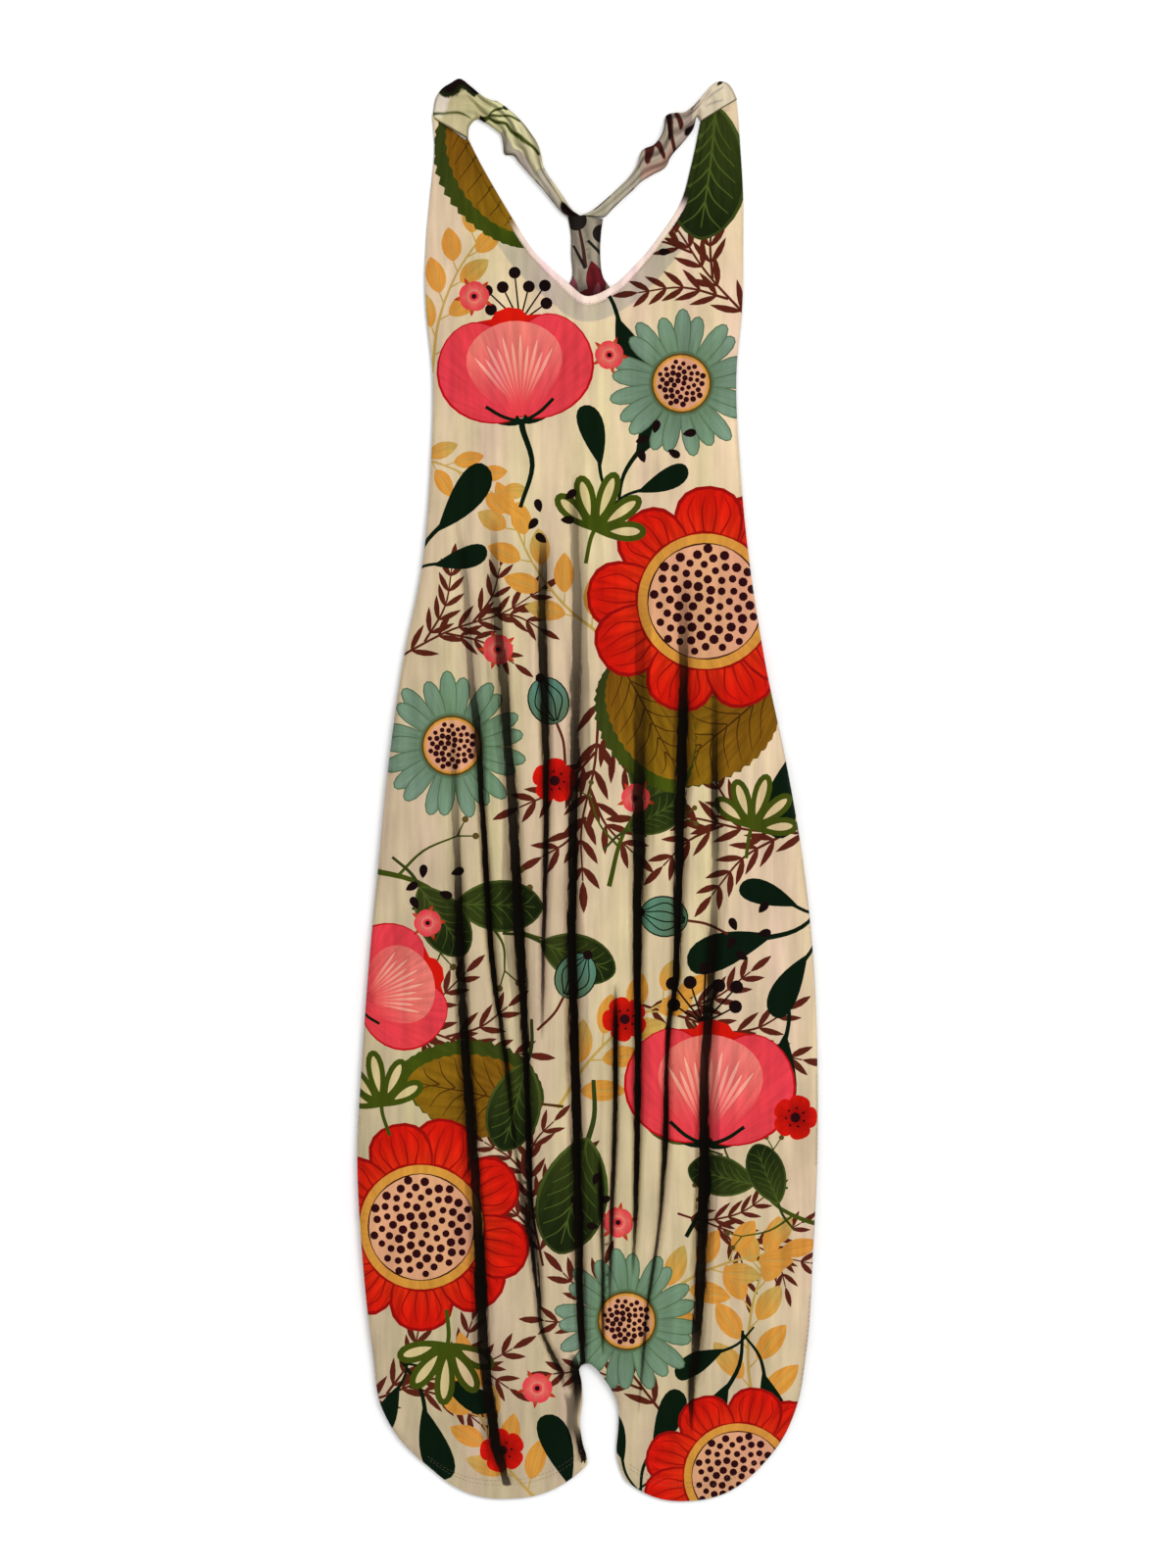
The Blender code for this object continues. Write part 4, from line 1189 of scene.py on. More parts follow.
class Nodes:
    """Builds a tree's nodes, each from its inputs by name or number."""

    def __init__(self, tree):
        self.tree = tree

    def give(self, socket, value):
        """Sets an input, or links it if the value is another node's output."""
        if isinstance(value, bpy.types.NodeSocket):
            self.tree.links.new(value, socket)
        else:
            socket.default_value = value

    def add(self, kind, inputs=None, **options):
        node = self.tree.nodes.new(kind)
        for key, value in options.items():
            setattr(node, key, value)
        for key, value in (inputs or {}).items():
            self.give(node.inputs[key], value)
        return node

    def maths(self, operation, *values):
        node = self.add("ShaderNodeMath", dict(enumerate(values)), operation=operation)
        return node.outputs[0]

    def product(self, first, *others):
        """All the values multiplied."""
        for value in others:
            first = self.maths("MULTIPLY", first, value)
        return first

    def mix(self, factor, first, second, blend="MIX"):
        inputs = {0: factor, 6: first, 7: second}
        node = self.add("ShaderNodeMix", inputs, data_type="RGBA", blend_type=blend)
        return node.outputs[2]

    def dyed(self, colour, *shades):
        """A colour multiplied by other colours."""
        for shade in shades:
            colour = self.mix(1.0, colour, shade, "MULTIPLY")
        return colour

    def attribute(self, name, output="Fac"):
        return self.add("ShaderNodeAttribute", attribute_name=name).outputs[output]

    def noise(self, vector, scale, detail=2.0):
        inputs = {"Vector": vector, "Scale": scale, "Detail": detail}
        return self.add("ShaderNodeTexNoise", inputs).outputs["Fac"]

    def between(self, value, low, high):
        """A value from 0 to 1 turned into one from low to high."""
        inputs = {"Value": value, "To Min": low, "To Max": high}
        return self.add("ShaderNodeMapRange", inputs).outputs["Result"]

    def grey(self, value):
        """A value as a colour."""
        return self.add("ShaderNodeCombineColor", {0: value, 1: value, 2: value}).outputs[0]

    def split(self, vector):
        return self.add("ShaderNodeSeparateXYZ", {0: vector}).outputs

    def step(self, value, zero, one):
        """0 where the value is at zero and 1 where it is at one, with soft ends."""
        inputs = {"Value": value, "From Min": zero, "From Max": one}
        return self.add("ShaderNodeMapRange", inputs, interpolation_type="SMOOTHSTEP").outputs[0]


class Finish(Nodes):
    """A material, with its shader's inputs and the place on the piece."""

    def __init__(self, name):
        self.material = bpy.data.materials.new(name)
        self.material.use_nodes = True
        super().__init__(self.material.node_tree)
        self.shader = self.tree.nodes["Principled BSDF"].inputs
        self.place = self.add("ShaderNodeTexCoord").outputs["Object"]

    def waves(self, scale, direction, **inputs):
        inputs = {"Vector": self.place, "Scale": scale, **inputs}
        options = {"wave_type": "BANDS", "bands_direction": direction}
        return self.add("ShaderNodeTexWave", inputs, **options).outputs["Fac"]

    def bump(self, height, strength, distance):
        inputs = {"Height": height, "Strength": strength, "Distance": distance}
        self.give(self.shader["Normal"], self.add("ShaderNodeBump", inputs).outputs[0])


def jersey(name, settings, wrong=0.0):
    """Printed knit: the print, its brush strokes, the painted shade of the folds and the rib."""
    nodes = Finish(name)
    place = nodes.place
    stretch = nodes.add("ShaderNodeMapping", {"Vector": place, "Scale": (1.0, LENGTHWISE, 1.0)})
    stretch = stretch.outputs[0]

    # The brush strokes fan out from just behind a mark's root
    across, along, strokes = nodes.split(nodes.attribute("brush", "Vector"))
    fan = nodes.maths("ARCTAN2", across, nodes.maths("ADD", along, STROKE_ROOT))
    strand = {0: nodes.product(fan, STROKES), 1: nodes.product(along, STROKE_CHANGE)}
    strand = nodes.add("ShaderNodeCombineXYZ", strand).outputs[0]
    streak = nodes.between(nodes.noise(strand, 1.0), -0.75, 0.75)
    streak = nodes.maths("ADD", nodes.product(streak, strokes), 1.0)

    # The print, with the knit's streaks, blotches and grain
    tone = nodes.between(nodes.noise(stretch, 30.0, 3.0), -0.6, 1.6)
    tint = nodes.mix(tone, (*settings.streak_cool, 1), (*settings.streak_warm, 1))
    blotch = nodes.between(nodes.noise(place, 22.0, 4.0), 0.80, 1.20)
    # Lengthwise lighter and darker streaks: partly the knit's tone, partly painted light and shade
    # of fine ridges along the cloth
    lines = nodes.between(nodes.noise(stretch, 110.0, 3.0), 0.68, 1.36)
    grain = nodes.between(nodes.noise(place, 800.0), 0.94, 1.06)
    shades = [nodes.grey(shade) for shade in (blotch, lines, grain)]
    colour = nodes.dyed(nodes.attribute("print", "Color"), nodes.grey(streak), tint, *shades)
    if wrong:
        # The wrong side: the print as it shows through, darkened partly as painted shade inside
        # the garment, then mixed toward the plain side's colour
        colour = nodes.dyed(colour, (*settings.through, 1))
        colour = nodes.mix(wrong, colour, (*settings.wrong_side, 1))

    # Painted shade over the facing under the neckline, and the soft shade beside the creases
    off_core, dark, off_opening = nodes.split(nodes.attribute("core", "Vector"))
    off_soft, veil, facing = nodes.split(nodes.attribute("soft", "Vector"))
    fray = nodes.between(nodes.noise(stretch, 240.0, 4.0), -0.62, 0.62)
    facing = nodes.product(nodes.step(off_opening, 1.05, 0.95), facing, settings.facing)
    colour = nodes.mix(facing, colour, nodes.dyed(colour, (*settings.facing_shade_tone, 1)))
    reach = nodes.maths("ADD", off_soft, nodes.product(fray, 0.5))
    waver = nodes.between(nodes.noise(stretch, 90.0), 0.55, 1.35)
    veil = nodes.product(nodes.step(reach, 1.12, 0.82), veil, waver, settings.veil)
    colour = nodes.mix(veil, colour, nodes.dyed(colour, (*settings.veil_tone, 1)))

    # Painted shade: the dark cores of the creases, with ragged edges and a brown rim
    ragged = nodes.between(nodes.noise(stretch, 800.0, 3.0), -0.5, 0.5)
    edge = nodes.maths("ADD", nodes.maths("ADD", off_core, fray), ragged)
    patches = nodes.between(nodes.noise(stretch, 65.0), 0.1, 1.5)
    rim_shade = nodes.product(nodes.step(edge, 2.3, 0.9), dark, patches)
    rim_shaded = nodes.dyed(colour, (*settings.rim_shade_tone, 1))
    colour = nodes.mix(nodes.maths("MINIMUM", rim_shade, 1.0), colour, rim_shaded)
    depth = nodes.maths("ADD", nodes.product(nodes.noise(stretch, 42.0, 3.0), 2.0), 0.12)
    depth = nodes.maths("MINIMUM", depth, 1.0)
    shade = nodes.product(nodes.step(edge, 1.2, 0.78), dark, depth, settings.shade)
    lit = nodes.maths("POWER", nodes.maths("SUBTRACT", 1.0, shade), 2.2)
    colour = nodes.mix(nodes.maths("SUBTRACT", 1.0, lit), colour, (*settings.crease, 1))

    nodes.give(nodes.shader["Base Color"], colour)
    knit = nodes.waves(1 / (settings.rib * WAVE_BANDS), "X", Distortion=0.6, Detail=1.0)
    nodes.bump(nodes.maths("ADD", nodes.product(knit, 0.5), grain), 0.2, 0.0004)
    nodes.give(nodes.shader["Roughness"], nodes.between(nodes.noise(place, 120.0), 0.82, 0.95))
    nodes.shader["Specular IOR Level"].default_value = 0.03
    nodes.shader["Sheen Weight"].default_value = settings.sheen
    nodes.shader["Sheen Roughness"].default_value = 0.5
    return nodes.material


def thread_material(name, colour):
    """Sewing thread, with the twist of its plies."""
    nodes = Finish(name)
    ply = nodes.waves(700.0, "DIAGONAL", Distortion=1.0)
    shade = nodes.grey(nodes.between(ply, 0.8, 1.05))
    nodes.give(nodes.shader["Base Color"], nodes.dyed((*colour, 1), shade))
    nodes.bump(ply, 0.3, 0.0001)
    nodes.shader["Roughness"].default_value = 0.6
    return nodes.material


def floor_material(colour):
    """A plain pale board with a faint tooth."""
    nodes = Finish("pale_board")
    shade = nodes.grey(nodes.between(nodes.noise(nodes.place, 300.0), 0.995, 1.005))
    nodes.give(nodes.shader["Base Color"], nodes.dyed((*colour, 1), shade))
    nodes.shader["Roughness"].default_value = 0.9
    nodes.shader["Specular IOR Level"].default_value = 0.0
    return nodes.material


# Settings


def a_length(name, text, value):
    return bpy.props.FloatProperty(
        name=name, description=text, default=value, subtype="DISTANCE", unit="LENGTH"
    )


def a_share(name, text, value, most=1):
    return bpy.props.FloatProperty(
        name=name, description=text, default=value, min=0, max=most, subtype="FACTOR"
    )


def a_colour(name, text, *value):
    return bpy.props.FloatVectorProperty(
        name=name, description=text, default=value, size=3, subtype="COLOR"
    )


class ClothSettings(bpy.types.PropertyGroup):
    """The cloth, its folds, its finish and the shade painted along its creases and facing."""

    wall: a_length("Thickness", "Thickness of the jersey", 0.9 * MM)
    rib: a_length("Rib", "Width of one rib of the knit", 1.0 * MM)
    swell: a_share("Swell", "How unevenly the cloth rises between its folds", 0.07, 0.3)
    # Painted shade, darkening the cloth's colour: the creases' dark cores and brown rims, the soft
    # shade beside them, and the band where the facing lies under the neckline
    shade: a_share("Crease shade", "Darkness of the creases", 1.0)
    veil: a_share("Soft shade", "Strength of the soft shade beside the creases", 1.0)
    crease: a_colour("Crease colour", "Colour deep in a crease", 0.0035, 0.0024, 0.0014)
    rim_shade_tone: a_colour(
        "Crease edge colour", "What a crease does to the print beside it", 0.42, 0.33, 0.25
    )
    veil_tone: a_colour(
        "Soft shade colour", "What the soft shade does to the print", 0.27, 0.27, 0.26
    )
    facing: a_share("Facing", "How far the facing under the neckline shows through", 0.9)
    facing_shade_tone: a_colour("Facing colour", "Colour that the facing gives", 0.66, 0.72, 0.86)
    streak_warm: a_colour("Warm streaks", "Tint of the lengthwise streaks", 1.0, 1.0, 0.80)
    streak_cool: a_colour("Pink streaks", "Tint between the warm streaks", 1.0, 0.86, 0.90)
    # The show-through colour darkens the print on the wrong side, partly as painted shade inside
    # the garment
    through: a_colour("Show-through", "How the print shows on the wrong side", 0.46, 0.50, 0.60)
    wrong_side: a_colour("Wrong side", "Colour of the unprinted side", 0.22, 0.19, 0.155)
    sheen: a_share("Sheen", "Soft gloss of the fibres", 0.01)


class StitchSettings(bpy.types.PropertyGroup):
    """The sewing that shows."""

    length: a_length("Stitch", "Length of one stitch", 2.6 * MM)
    gap: a_length("Gap", "Space between two stitches", 0.8 * MM)
    thickness: a_length("Thread", "Thickness of the thread", 0.3 * MM)
    seed: bpy.props.IntProperty(name="Seed", description="Seed of the unevenness", default=4)
    colour: a_colour("Thread colour", "Colour of the thread", 0.13, 0.10, 0.07)


class StageSettings(bpy.types.PropertyGroup):
    """The camera, the light and what the romper lies on."""

    height: a_length("Camera height", "Height of the camera above the floor", 3.4)
    lens: bpy.props.FloatProperty(
        name="Lens", description="Focal length", default=85, subtype="DISTANCE_CAMERA",
        unit="CAMERA",
    )
    centre: bpy.props.FloatVectorProperty(
        name="Centre", description="The point straight below the camera", size=3,
        default=(0.45 * MM, 4.95 * MM, 0), subtype="TRANSLATION", unit="LENGTH",
    )
    floor: a_colour("Floor", "Colour of the floor", 0.95, 0.95, 0.95)
    sky: bpy.props.FloatProperty(
        name="Fill", description="Strength of the even light from all round", default=0.86,
    )
    key: bpy.props.FloatProperty(
        name="Key light", description="Power of the large soft light", default=170,
        subtype="POWER", unit="POWER",
    )


class RomperSettings(bpy.types.PropertyGroup):
    """Everything that may be changed."""

    cloth: bpy.props.PointerProperty(type=ClothSettings)
    stitch: bpy.props.PointerProperty(type=StitchSettings)
    stage: bpy.props.PointerProperty(type=StageSettings)


def shown_as(piece, node):
    """The piece takes a CAD node's place in the one body."""
    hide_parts(node)
    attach(piece, "root")


def front_spacing(x, y):
    """Width between the front's grid points: closer where a crease runs."""
    density = np.full(len(x), 1 / POINT_SPACING)
    for knots in CREASES.values():
        at, width, dark, veil = crease_at(knots, np.array([y]))
        strength = min(1.0, dark[0] + veil[0])
        density += strength * EXTRA_POINTS * bell((x - at[0]) / (width[0] + VEIL_MARGIN))
    return 1 / density


class ROMPER_OT_front(bpy.types.Operator):
    """Make the front panel, with its folds and print"""

    bl_idname = "romper.front"
    bl_label = "Front"

    def execute(self, context):
        settings = context.scene.romper.cloth
        form = FrontForm()
        wall = settings.wall / MM
        neck = opening()
        neck = neck + normals_of(neck) * BAND_TUCK
        outline = front_outline(neck, FRONT_STEP)
        inner = grid(outline, FRONT_ROWS, front_spacing, FRONT_RINGS)
        under_inner = grid(outline, UNDERSIDE_ROWS, front_spacing, FRONT_RINGS)

        def upper(points):
            return form.heights(points, settings)

        def lower(points):
            _, normals = slopes(upper, points)
            lowest = np.min([upper(points + [off, 0]) for off in UNDER_REACH], axis=0)
            return np.maximum(lowest - wall, rest(points[:, 1]) + 0.05), -normals

        piece = cloth_shell(
            "printed_front", outline, inner, printed(FRONT_PRINT), upper, lower, form.shades,
            [jersey("printed_jersey", settings), jersey("jersey_wrong_side", settings, 0.5)],
            lines=crease_lines(outline), under_inner=under_inner,
        )
        shown_as(piece, "front")
        return {"FINISHED"}


class ROMPER_OT_back(bpy.types.Operator):
    """Make the back panel, with its racerback bar"""

    bl_idname = "romper.back"
    bl_label = "Back"

    def execute(self, context):
        settings = context.scene.romper.cloth
        outline = back_outline(BACK_STEP)

        def spacing(x, y):
            return np.full(len(x), 3.0 if y > 380 else 7.0)

        def lower(points):
            return np.zeros(len(points)), np.tile([0.0, 0.0, -1.0], (len(points), 1))

        def shades(points):
            # Painted shade in the pleats, along the bar's edges and under the neckline
            x, y = points[:, 0], points[:, 1]
            share, wave = across_bar(x, y)
            edge = smooth((np.abs(2 * share - 1) - 0.8) / 0.2)
            dark = PLEAT_SHADE * (0.5 - 0.5 * wave) ** 3 + BAR_EDGE_SHADE * edge
            dark = smooth((y - 440) / 12) * np.clip(dark, 0, 0.8)
            under_neck = UNDER_NECK_SHADE * smooth((470 - y) / 14) * smooth((y - 430) / 10)
            return plain(np.maximum(dark, under_neck))

        inner = grid(outline, BACK_ROWS, spacing, BACK_RINGS)
        marks = printed(FRONT_PRINT, (0, 30)) + printed(BAR_PRINT)
        shown = [mark for mark in marks if mark.edge[:, 1].max() > SEEN_ABOVE]
        piece = cloth_shell(
            "printed_back", outline, inner, shown, back_heights, lower, shades,
            [jersey("back_wrong_side", settings, 0.05), jersey("back_print", settings)],
            under_marks=marks,
        )
        shown_as(piece, "back")
        return {"FINISHED"}


class ROMPER_OT_neck_binding(bpy.types.Operator):
    """Make the folded strip that binds the neckline"""

    bl_idname = "romper.neck_binding"
    bl_label = "Neck binding"

    def execute(self, context):
        settings = context.scene.romper.cloth
        front = bpy.data.objects["printed_front"]
        points = spaced(opening(), 1.6)
        turns = np.linspace(0, np.pi, 11)
        across = np.concatenate([0.5 - 0.5 * np.cos(turns), [0.75, 0.5, 0.25]])
        up = np.concatenate([np.sin(turns) ** 0.6, [0.0, 0.0, 0.0]])
        ripple = 1 + 0.05 * np.sin(np.arange(len(points)) / 2.3)
        off = (band_widths(points)[:, None] * across)[..., None]
        place = points[:, None] + normals_of(points)[:, None] * off
        base = rest(points[:, 1] - 4)[:, None] + 0.1
        height = base + BAND_HEIGHT * up * ripple[:, None]
        rings = np.concatenate([place, height[..., None]], axis=2)
        found = nearest_colours(front, place.reshape(-1, 2)).reshape(*place.shape[:2], 3)
        pale = np.where(points[:, 0] < 0, smooth((BAND_PALE_LEFT - points[:, 1]) / 16),
                        smooth((BAND_PALE_RIGHT - points[:, 1]) / 14))
        share = pale[:, None, None] * (1 - 0.25 * across**6)[None, :, None]
        colours = found * (1 - share) + linear("binding") * share
        piece = tube("neck_band", rings, colours, np.zeros(rings.shape[:2]),
                     jersey("binding_jersey", settings))
        shown_as(piece, "neck_binding")
        return {"FINISHED"}


def nearest_colours(piece, points):
    """The print of a panel at the triangle nearest to each point in the plane."""
    mesh = piece.data
    count = len(mesh.polygons)
    centres = np.zeros(count * 3, np.float32)
    mesh.polygons.foreach_get("center", centres)
    facing = np.zeros(count * 3, np.float32)
    mesh.polygons.foreach_get("normal", facing)
    ink = np.zeros(len(mesh.loops) * 4, np.float32)
    mesh.attributes["print"].data.foreach_get("color", ink)
    ink = ink.reshape(-1, 3, 4)[:, :, :3].mean(axis=1)
    centres = centres.reshape(-1, 3)
    shown = np.flatnonzero(facing.reshape(-1, 3)[:, 2] > 0)
    tree = KDTree(len(shown))
    for i in shown:
        tree.insert((centres[i, 0], centres[i, 1], 0), int(i))
    tree.balance()
    found = [tree.find((x * MM, y * MM, 0))[1] for x, y in points]
    return ink[found]


# The print on the straps: streaks between two places, each a share of the way along the strap
# and across it from its outer edge, with a half width
Streak = namedtuple("Streak", "along across to_along to_across half dye")
# On the left strap, the black and deep green streaks along its outer edge where it turns over the
# shoulder are print, and also painted shade of that fold
LEFT_STREAKS = table(
    Streak, (0.00, 0.40, 0.30, 0.50, 22.0, "khaki"), (0.04, 0.08, 0.12, 0.14, 4.5, "white"),
    (0.02, 0.02, 0.13, 0.92, 1.0, "moss"), (0.14, 0.10, 0.29, 0.16, 4.2, "leaf_deep"),
    (0.16, -0.02, 0.30, 0.00, 4.6, "soil"), (0.33, 1.00, 0.40, 0.84, 2.6, "soil"),
    (0.40, 0.74, 0.47, 0.10, 1.0, "moss"), (0.47, 0.02, 0.48, 0.06, 1.6, "soil"),
    (0.41, -0.02, 0.425, 0.00, 1.6, "soil"), (0.38, 0.88, 0.555, 0.04, 1.0, "moss"),
    (0.54, 0.92, 0.74, 0.86, 4.0, "lilac"), (0.64, 0.98, 0.80, 0.78, 3.6, "lilac"),
    (0.39, 0.90, 0.71, 0.14, 1.5, "moss"), (0.785, 0.00, 0.80, 1.00, 0.9, "soil"),
    (0.83, 0.50, 0.97, 0.50, 13.0, "cord"), (0.86, 0.10, 0.95, 0.40, 2.5, "khaki"),
    (0.81, 1.02, 0.96, 1.02, 1.2, "grey_deep"), (0.965, 0.50, 1.00, 0.50, 9.0, "soil"),
)
RIGHT_STREAKS = table(
    Streak, (0.00, 0.50, 0.24, 0.50, 24.0, "shell"), (0.06, 0.35, 0.12, 0.70, 1.3, "lilac"),
    (0.14, 0.20, 0.20, 0.58, 1.6, "lilac"), (0.22, 0.30, 0.27, 0.70, 1.6, "lilac"),
    (0.17, 0.02, 0.18, 0.04, 1.8, "soil"), (0.30, 1.02, 0.41, 0.86, 3.4, "soil"),
    (0.31, 0.10, 0.36, 0.06, 1.6, "grey_deep"), (0.52, 0.88, 0.74, 0.82, 4.0, "lilac_pink"),
    (0.455, -0.05, 0.435, 0.50, 2.4, "maroon_pale"),
    (0.485, -0.05, 0.50, 0.98, 2.4, "maroon_pale"), (0.49, -0.05, 0.51, 0.55, 2.4, "soil"),
    (0.63, 0.02, 0.60, 0.70, 2.6, "maroon_pale"), (0.655, 0.00, 0.69, 0.46, 3.6, "maroon_pale"),
    (0.83, 0.50, 0.98, 0.50, 13.0, "cord"), (0.82, 1.02, 1.00, 1.02, 1.6, "grey_deep"),
    (0.90, 0.10, 0.95, 0.04, 1.2, "soil"),
)
STRAP_LENGTH = 200.0
STRAP_WIDTH = 22.0
STRAP_STATIONS = 230
STRAP_TOP = 34  # points across the upper face
STRAP_RIDGES = 2.2
STRAP_TURNS = 2.6
RIDGE_DEPTH = 0.34
WRINKLES = 5.3
WRINKLE_DEPTH = 0.08
WRINKLE_TURNS = 1.7
# Painted shade on the straps: in the grooves and wrinkles of the twist, along both edges, and at
# the seams at their ends
TWIST_FROM, TWIST_TO = 0.25, 0.74  # shares of the length between which the twist gets painted shade
GROOVE_SHADE = 0.26
WRINKLE_SHADE = 0.06
EDGE_SHADE = 0.22
SEAM_SHADE = 0.4


def strap(name, node, sections, ground, streaks, hand, settings):
    """A strap that turns over the shoulder and twists down to the bar."""
    at = np.linspace(0, len(sections) - 1, STRAP_STATIONS)
    numbers = np.arange(len(sections))
    upper_x, upper_y, lower_x, lower_y, height = (
        spline(at, numbers, [getattr(row, field) for row in sections]) for field in Section._fields
    )
    along = (at / at[-1])[:, None]
    share = (0.5 - 0.5 * np.cos(np.linspace(0, np.pi, STRAP_TOP)))[None, :]
    x = upper_x[:, None] + share * (lower_x - upper_x)[:, None]
    y = upper_y[:, None] + share * (lower_y - upper_y)[:, None]
    turn = hand * STRAP_TURNS * along
    phase = STRAP_RIDGES * share - turn
    groove = (0.5 - 0.5 * np.cos(2 * np.pi * phase)) ** 3
    fine_phase = WRINKLES * share - WRINKLE_TURNS * turn + 0.3 * np.sin(at)[:, None]
    fine = (0.5 - 0.5 * np.cos(2 * np.pi * fine_phase)) ** 2
    dome = np.sqrt(np.clip(4 * share * (1 - share), 0, 1)) ** 0.8
    z = height[:, None] * dome * (1 - RIDGE_DEPTH * groove - WRINKLE_DEPTH * fine)
    inner = share[:, 1:-1][:, ::-1][:, ::3]
    below_x = upper_x[:, None] + inner * (lower_x - upper_x)[:, None]
    below_y = upper_y[:, None] + inner * (lower_y - upper_y)[:, None]
    rings = np.concatenate(
        [
            np.stack([x, y, np.maximum(z, 0.3)], axis=-1),
            np.stack([below_x, below_y, np.full_like(below_x, 0.05)], axis=-1),
        ],
        axis=1,
    )
    colours = np.zeros((*rings.shape[:2], 3)) + linear(ground)
    upper = colours[:, :STRAP_TOP]
    spots = np.stack(np.broadcast_arrays(along * STRAP_LENGTH, share * STRAP_WIDTH), axis=-1)
    spots = spots + 0.7 * np.sin(spots[..., ::-1] / 3.1)
    for streak in streaks:
        line = np.array(
            [
                (streak.along * STRAP_LENGTH, streak.across * STRAP_WIDTH),
                (streak.to_along * STRAP_LENGTH, streak.to_across * STRAP_WIDTH),
            ]
        )
        off = distance_to(spots.reshape(-1, 2), line).reshape(spots.shape[:2])
        cover = smooth((streak.half + 0.45 - off) / 0.9)[..., None]
        upper[:] = upper * (1 - cover) + linear(streak.dye) * cover
    # Painted shade in the twist's grooves, along the edges and at the end seams
    dark = np.zeros(rings.shape[:2])
    twisted = smooth((along - TWIST_FROM) / 0.1) * (1 - 0.8 * smooth((along - TWIST_TO) / 0.08))
    dark[:, :STRAP_TOP] = (GROOVE_SHADE * groove + WRINKLE_SHADE * fine) * twisted
    edge = smooth((np.abs(2 * share - 1) - 0.82) / 0.18)
    dark[:, :STRAP_TOP] = np.clip(dark[:, :STRAP_TOP] + EDGE_SHADE * edge, 0, 0.8)
    dark[[0, 1, -1]] = np.maximum(dark[[0, 1, -1]], SEAM_SHADE)
    piece = tube(name, rings, colours, dark, jersey(name + "_jersey", settings))
    shown_as(piece, node)


class ROMPER_OT_straps(bpy.types.Operator):
    """Make the two twisted straps"""

    bl_idname = "romper.straps"
    bl_label = "Straps"

    def execute(self, context):
        settings = context.scene.romper.cloth
        for side, sections, ground, streaks, hand in (
            ("left", LEFT_STRAP, "khaki_pale", LEFT_STREAKS, 1),
            ("right", RIGHT_STRAP, "grey", RIGHT_STREAKS, -1),
        ):
            strap(f"twisted_strap_{side}", f"strap_{side}", sections, ground, streaks, hand,
                  settings)
        return {"FINISHED"}


# The inputs and the output of the stitches' geometry nodes
STITCH_SOCKETS = (
    ("Geometry", "INPUT", "Geometry"),
    ("Stitch length", "INPUT", "Float"),
    ("Gap", "INPUT", "Float"),
    ("Thread thickness", "INPUT", "Float"),
    ("Seed", "INPUT", "Int"),
    ("Thread", "INPUT", "Material"),
    ("Geometry", "OUTPUT", "Geometry"),
)
STITCH_SIZES = (0.88, 1.06)  # the smallest and the largest, in shares of the stated size


def stitch_tree():
    """Geometry nodes that lay stitches along a line."""
    tree = bpy.data.node_groups.new("Stitches", "GeometryNodeTree")
    for name, way, kind in STITCH_SOCKETS:
        tree.interface.new_socket(name, in_out=way, socket_type="NodeSocket" + kind)
    nodes = Nodes(tree)
    given = nodes.add("NodeGroupInput").outputs
    long, thick = given["Stitch length"], given["Thread thickness"]
    line = nodes.add("GeometryNodeMeshToCurve", {0: given["Geometry"]}).outputs[0]
    pitch = nodes.maths("ADD", long, given["Gap"])
    spots = nodes.add("GeometryNodeCurveToPoints", {"Curve": line, "Length": pitch}, mode="LENGTH")
    bead = nodes.add("GeometryNodeMeshUVSphere", {"Segments": 6, "Rings": 4, "Radius": 0.5})
    size = nodes.add("ShaderNodeCombineXYZ", {0: long, 1: thick, 2: thick})
    jitter = nodes.add(
        "FunctionNodeRandomValue",
        {2: STITCH_SIZES[0], 3: STITCH_SIZES[1], "Seed": given["Seed"]}, data_type="FLOAT",
    )
    scale = nodes.add(
        "ShaderNodeVectorMath", {0: size.outputs[0], "Scale": jitter.outputs[1]},
        operation="SCALE",
    )
    turn = nodes.add(
        "FunctionNodeAlignRotationToVector", {"Vector": spots.outputs["Tangent"]}, axis="X"
    )
    laid = nodes.add(
        "GeometryNodeInstanceOnPoints",
        {
            "Points": spots.outputs["Points"], "Instance": bead.outputs["Mesh"],
            "Rotation": turn.outputs[0], "Scale": scale.outputs[0],
        },
    )
    real = nodes.add("GeometryNodeRealizeInstances", {0: laid.outputs[0]})
    soft = nodes.add("GeometryNodeSetShadeSmooth", {0: real.outputs[0]})
    finish = {"Geometry": soft.outputs[0], "Material": given["Thread"]}
    thread = nodes.add("GeometryNodeSetMaterial", finish)
    nodes.add("NodeGroupOutput", {0: thread.outputs[0]})
    return tree


def stitched(name, lines, tree, settings, material):
    """Stitches along lines of points in millimetres, as one plain mesh."""
    points, edges = [], []
    for line in lines:
        edges += [(len(points) + i, len(points) + i + 1) for i in range(len(line) - 1)]
        points += (np.asarray(line) * MM).tolist()
    mesh = bpy.data.meshes.new(name)
    mesh.from_pydata(points, edges, [])
    seam = bpy.data.objects.new(name, mesh)
    bpy.context.scene.collection.objects.link(seam)
    modifier = seam.modifiers.new("Stitches", "NODES")
    modifier.node_group = tree
    values = {
        "Stitch length": settings.length, "Gap": settings.gap,
        "Thread thickness": settings.thickness, "Seed": settings.seed, "Thread": material,
    }
    for item in tree.interface.items_tree:
        if item.name in values:
            modifier[item.identifier] = values[item.name]
    seam.update_tag()
    bpy.context.view_layer.update()
    ready = seam.evaluated_get(bpy.context.evaluated_depsgraph_get())
    finished = bpy.data.meshes.new_from_object(ready)
    seam.modifiers.remove(modifier)
    seam.data = finished
    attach(seam, "root")
    return seam


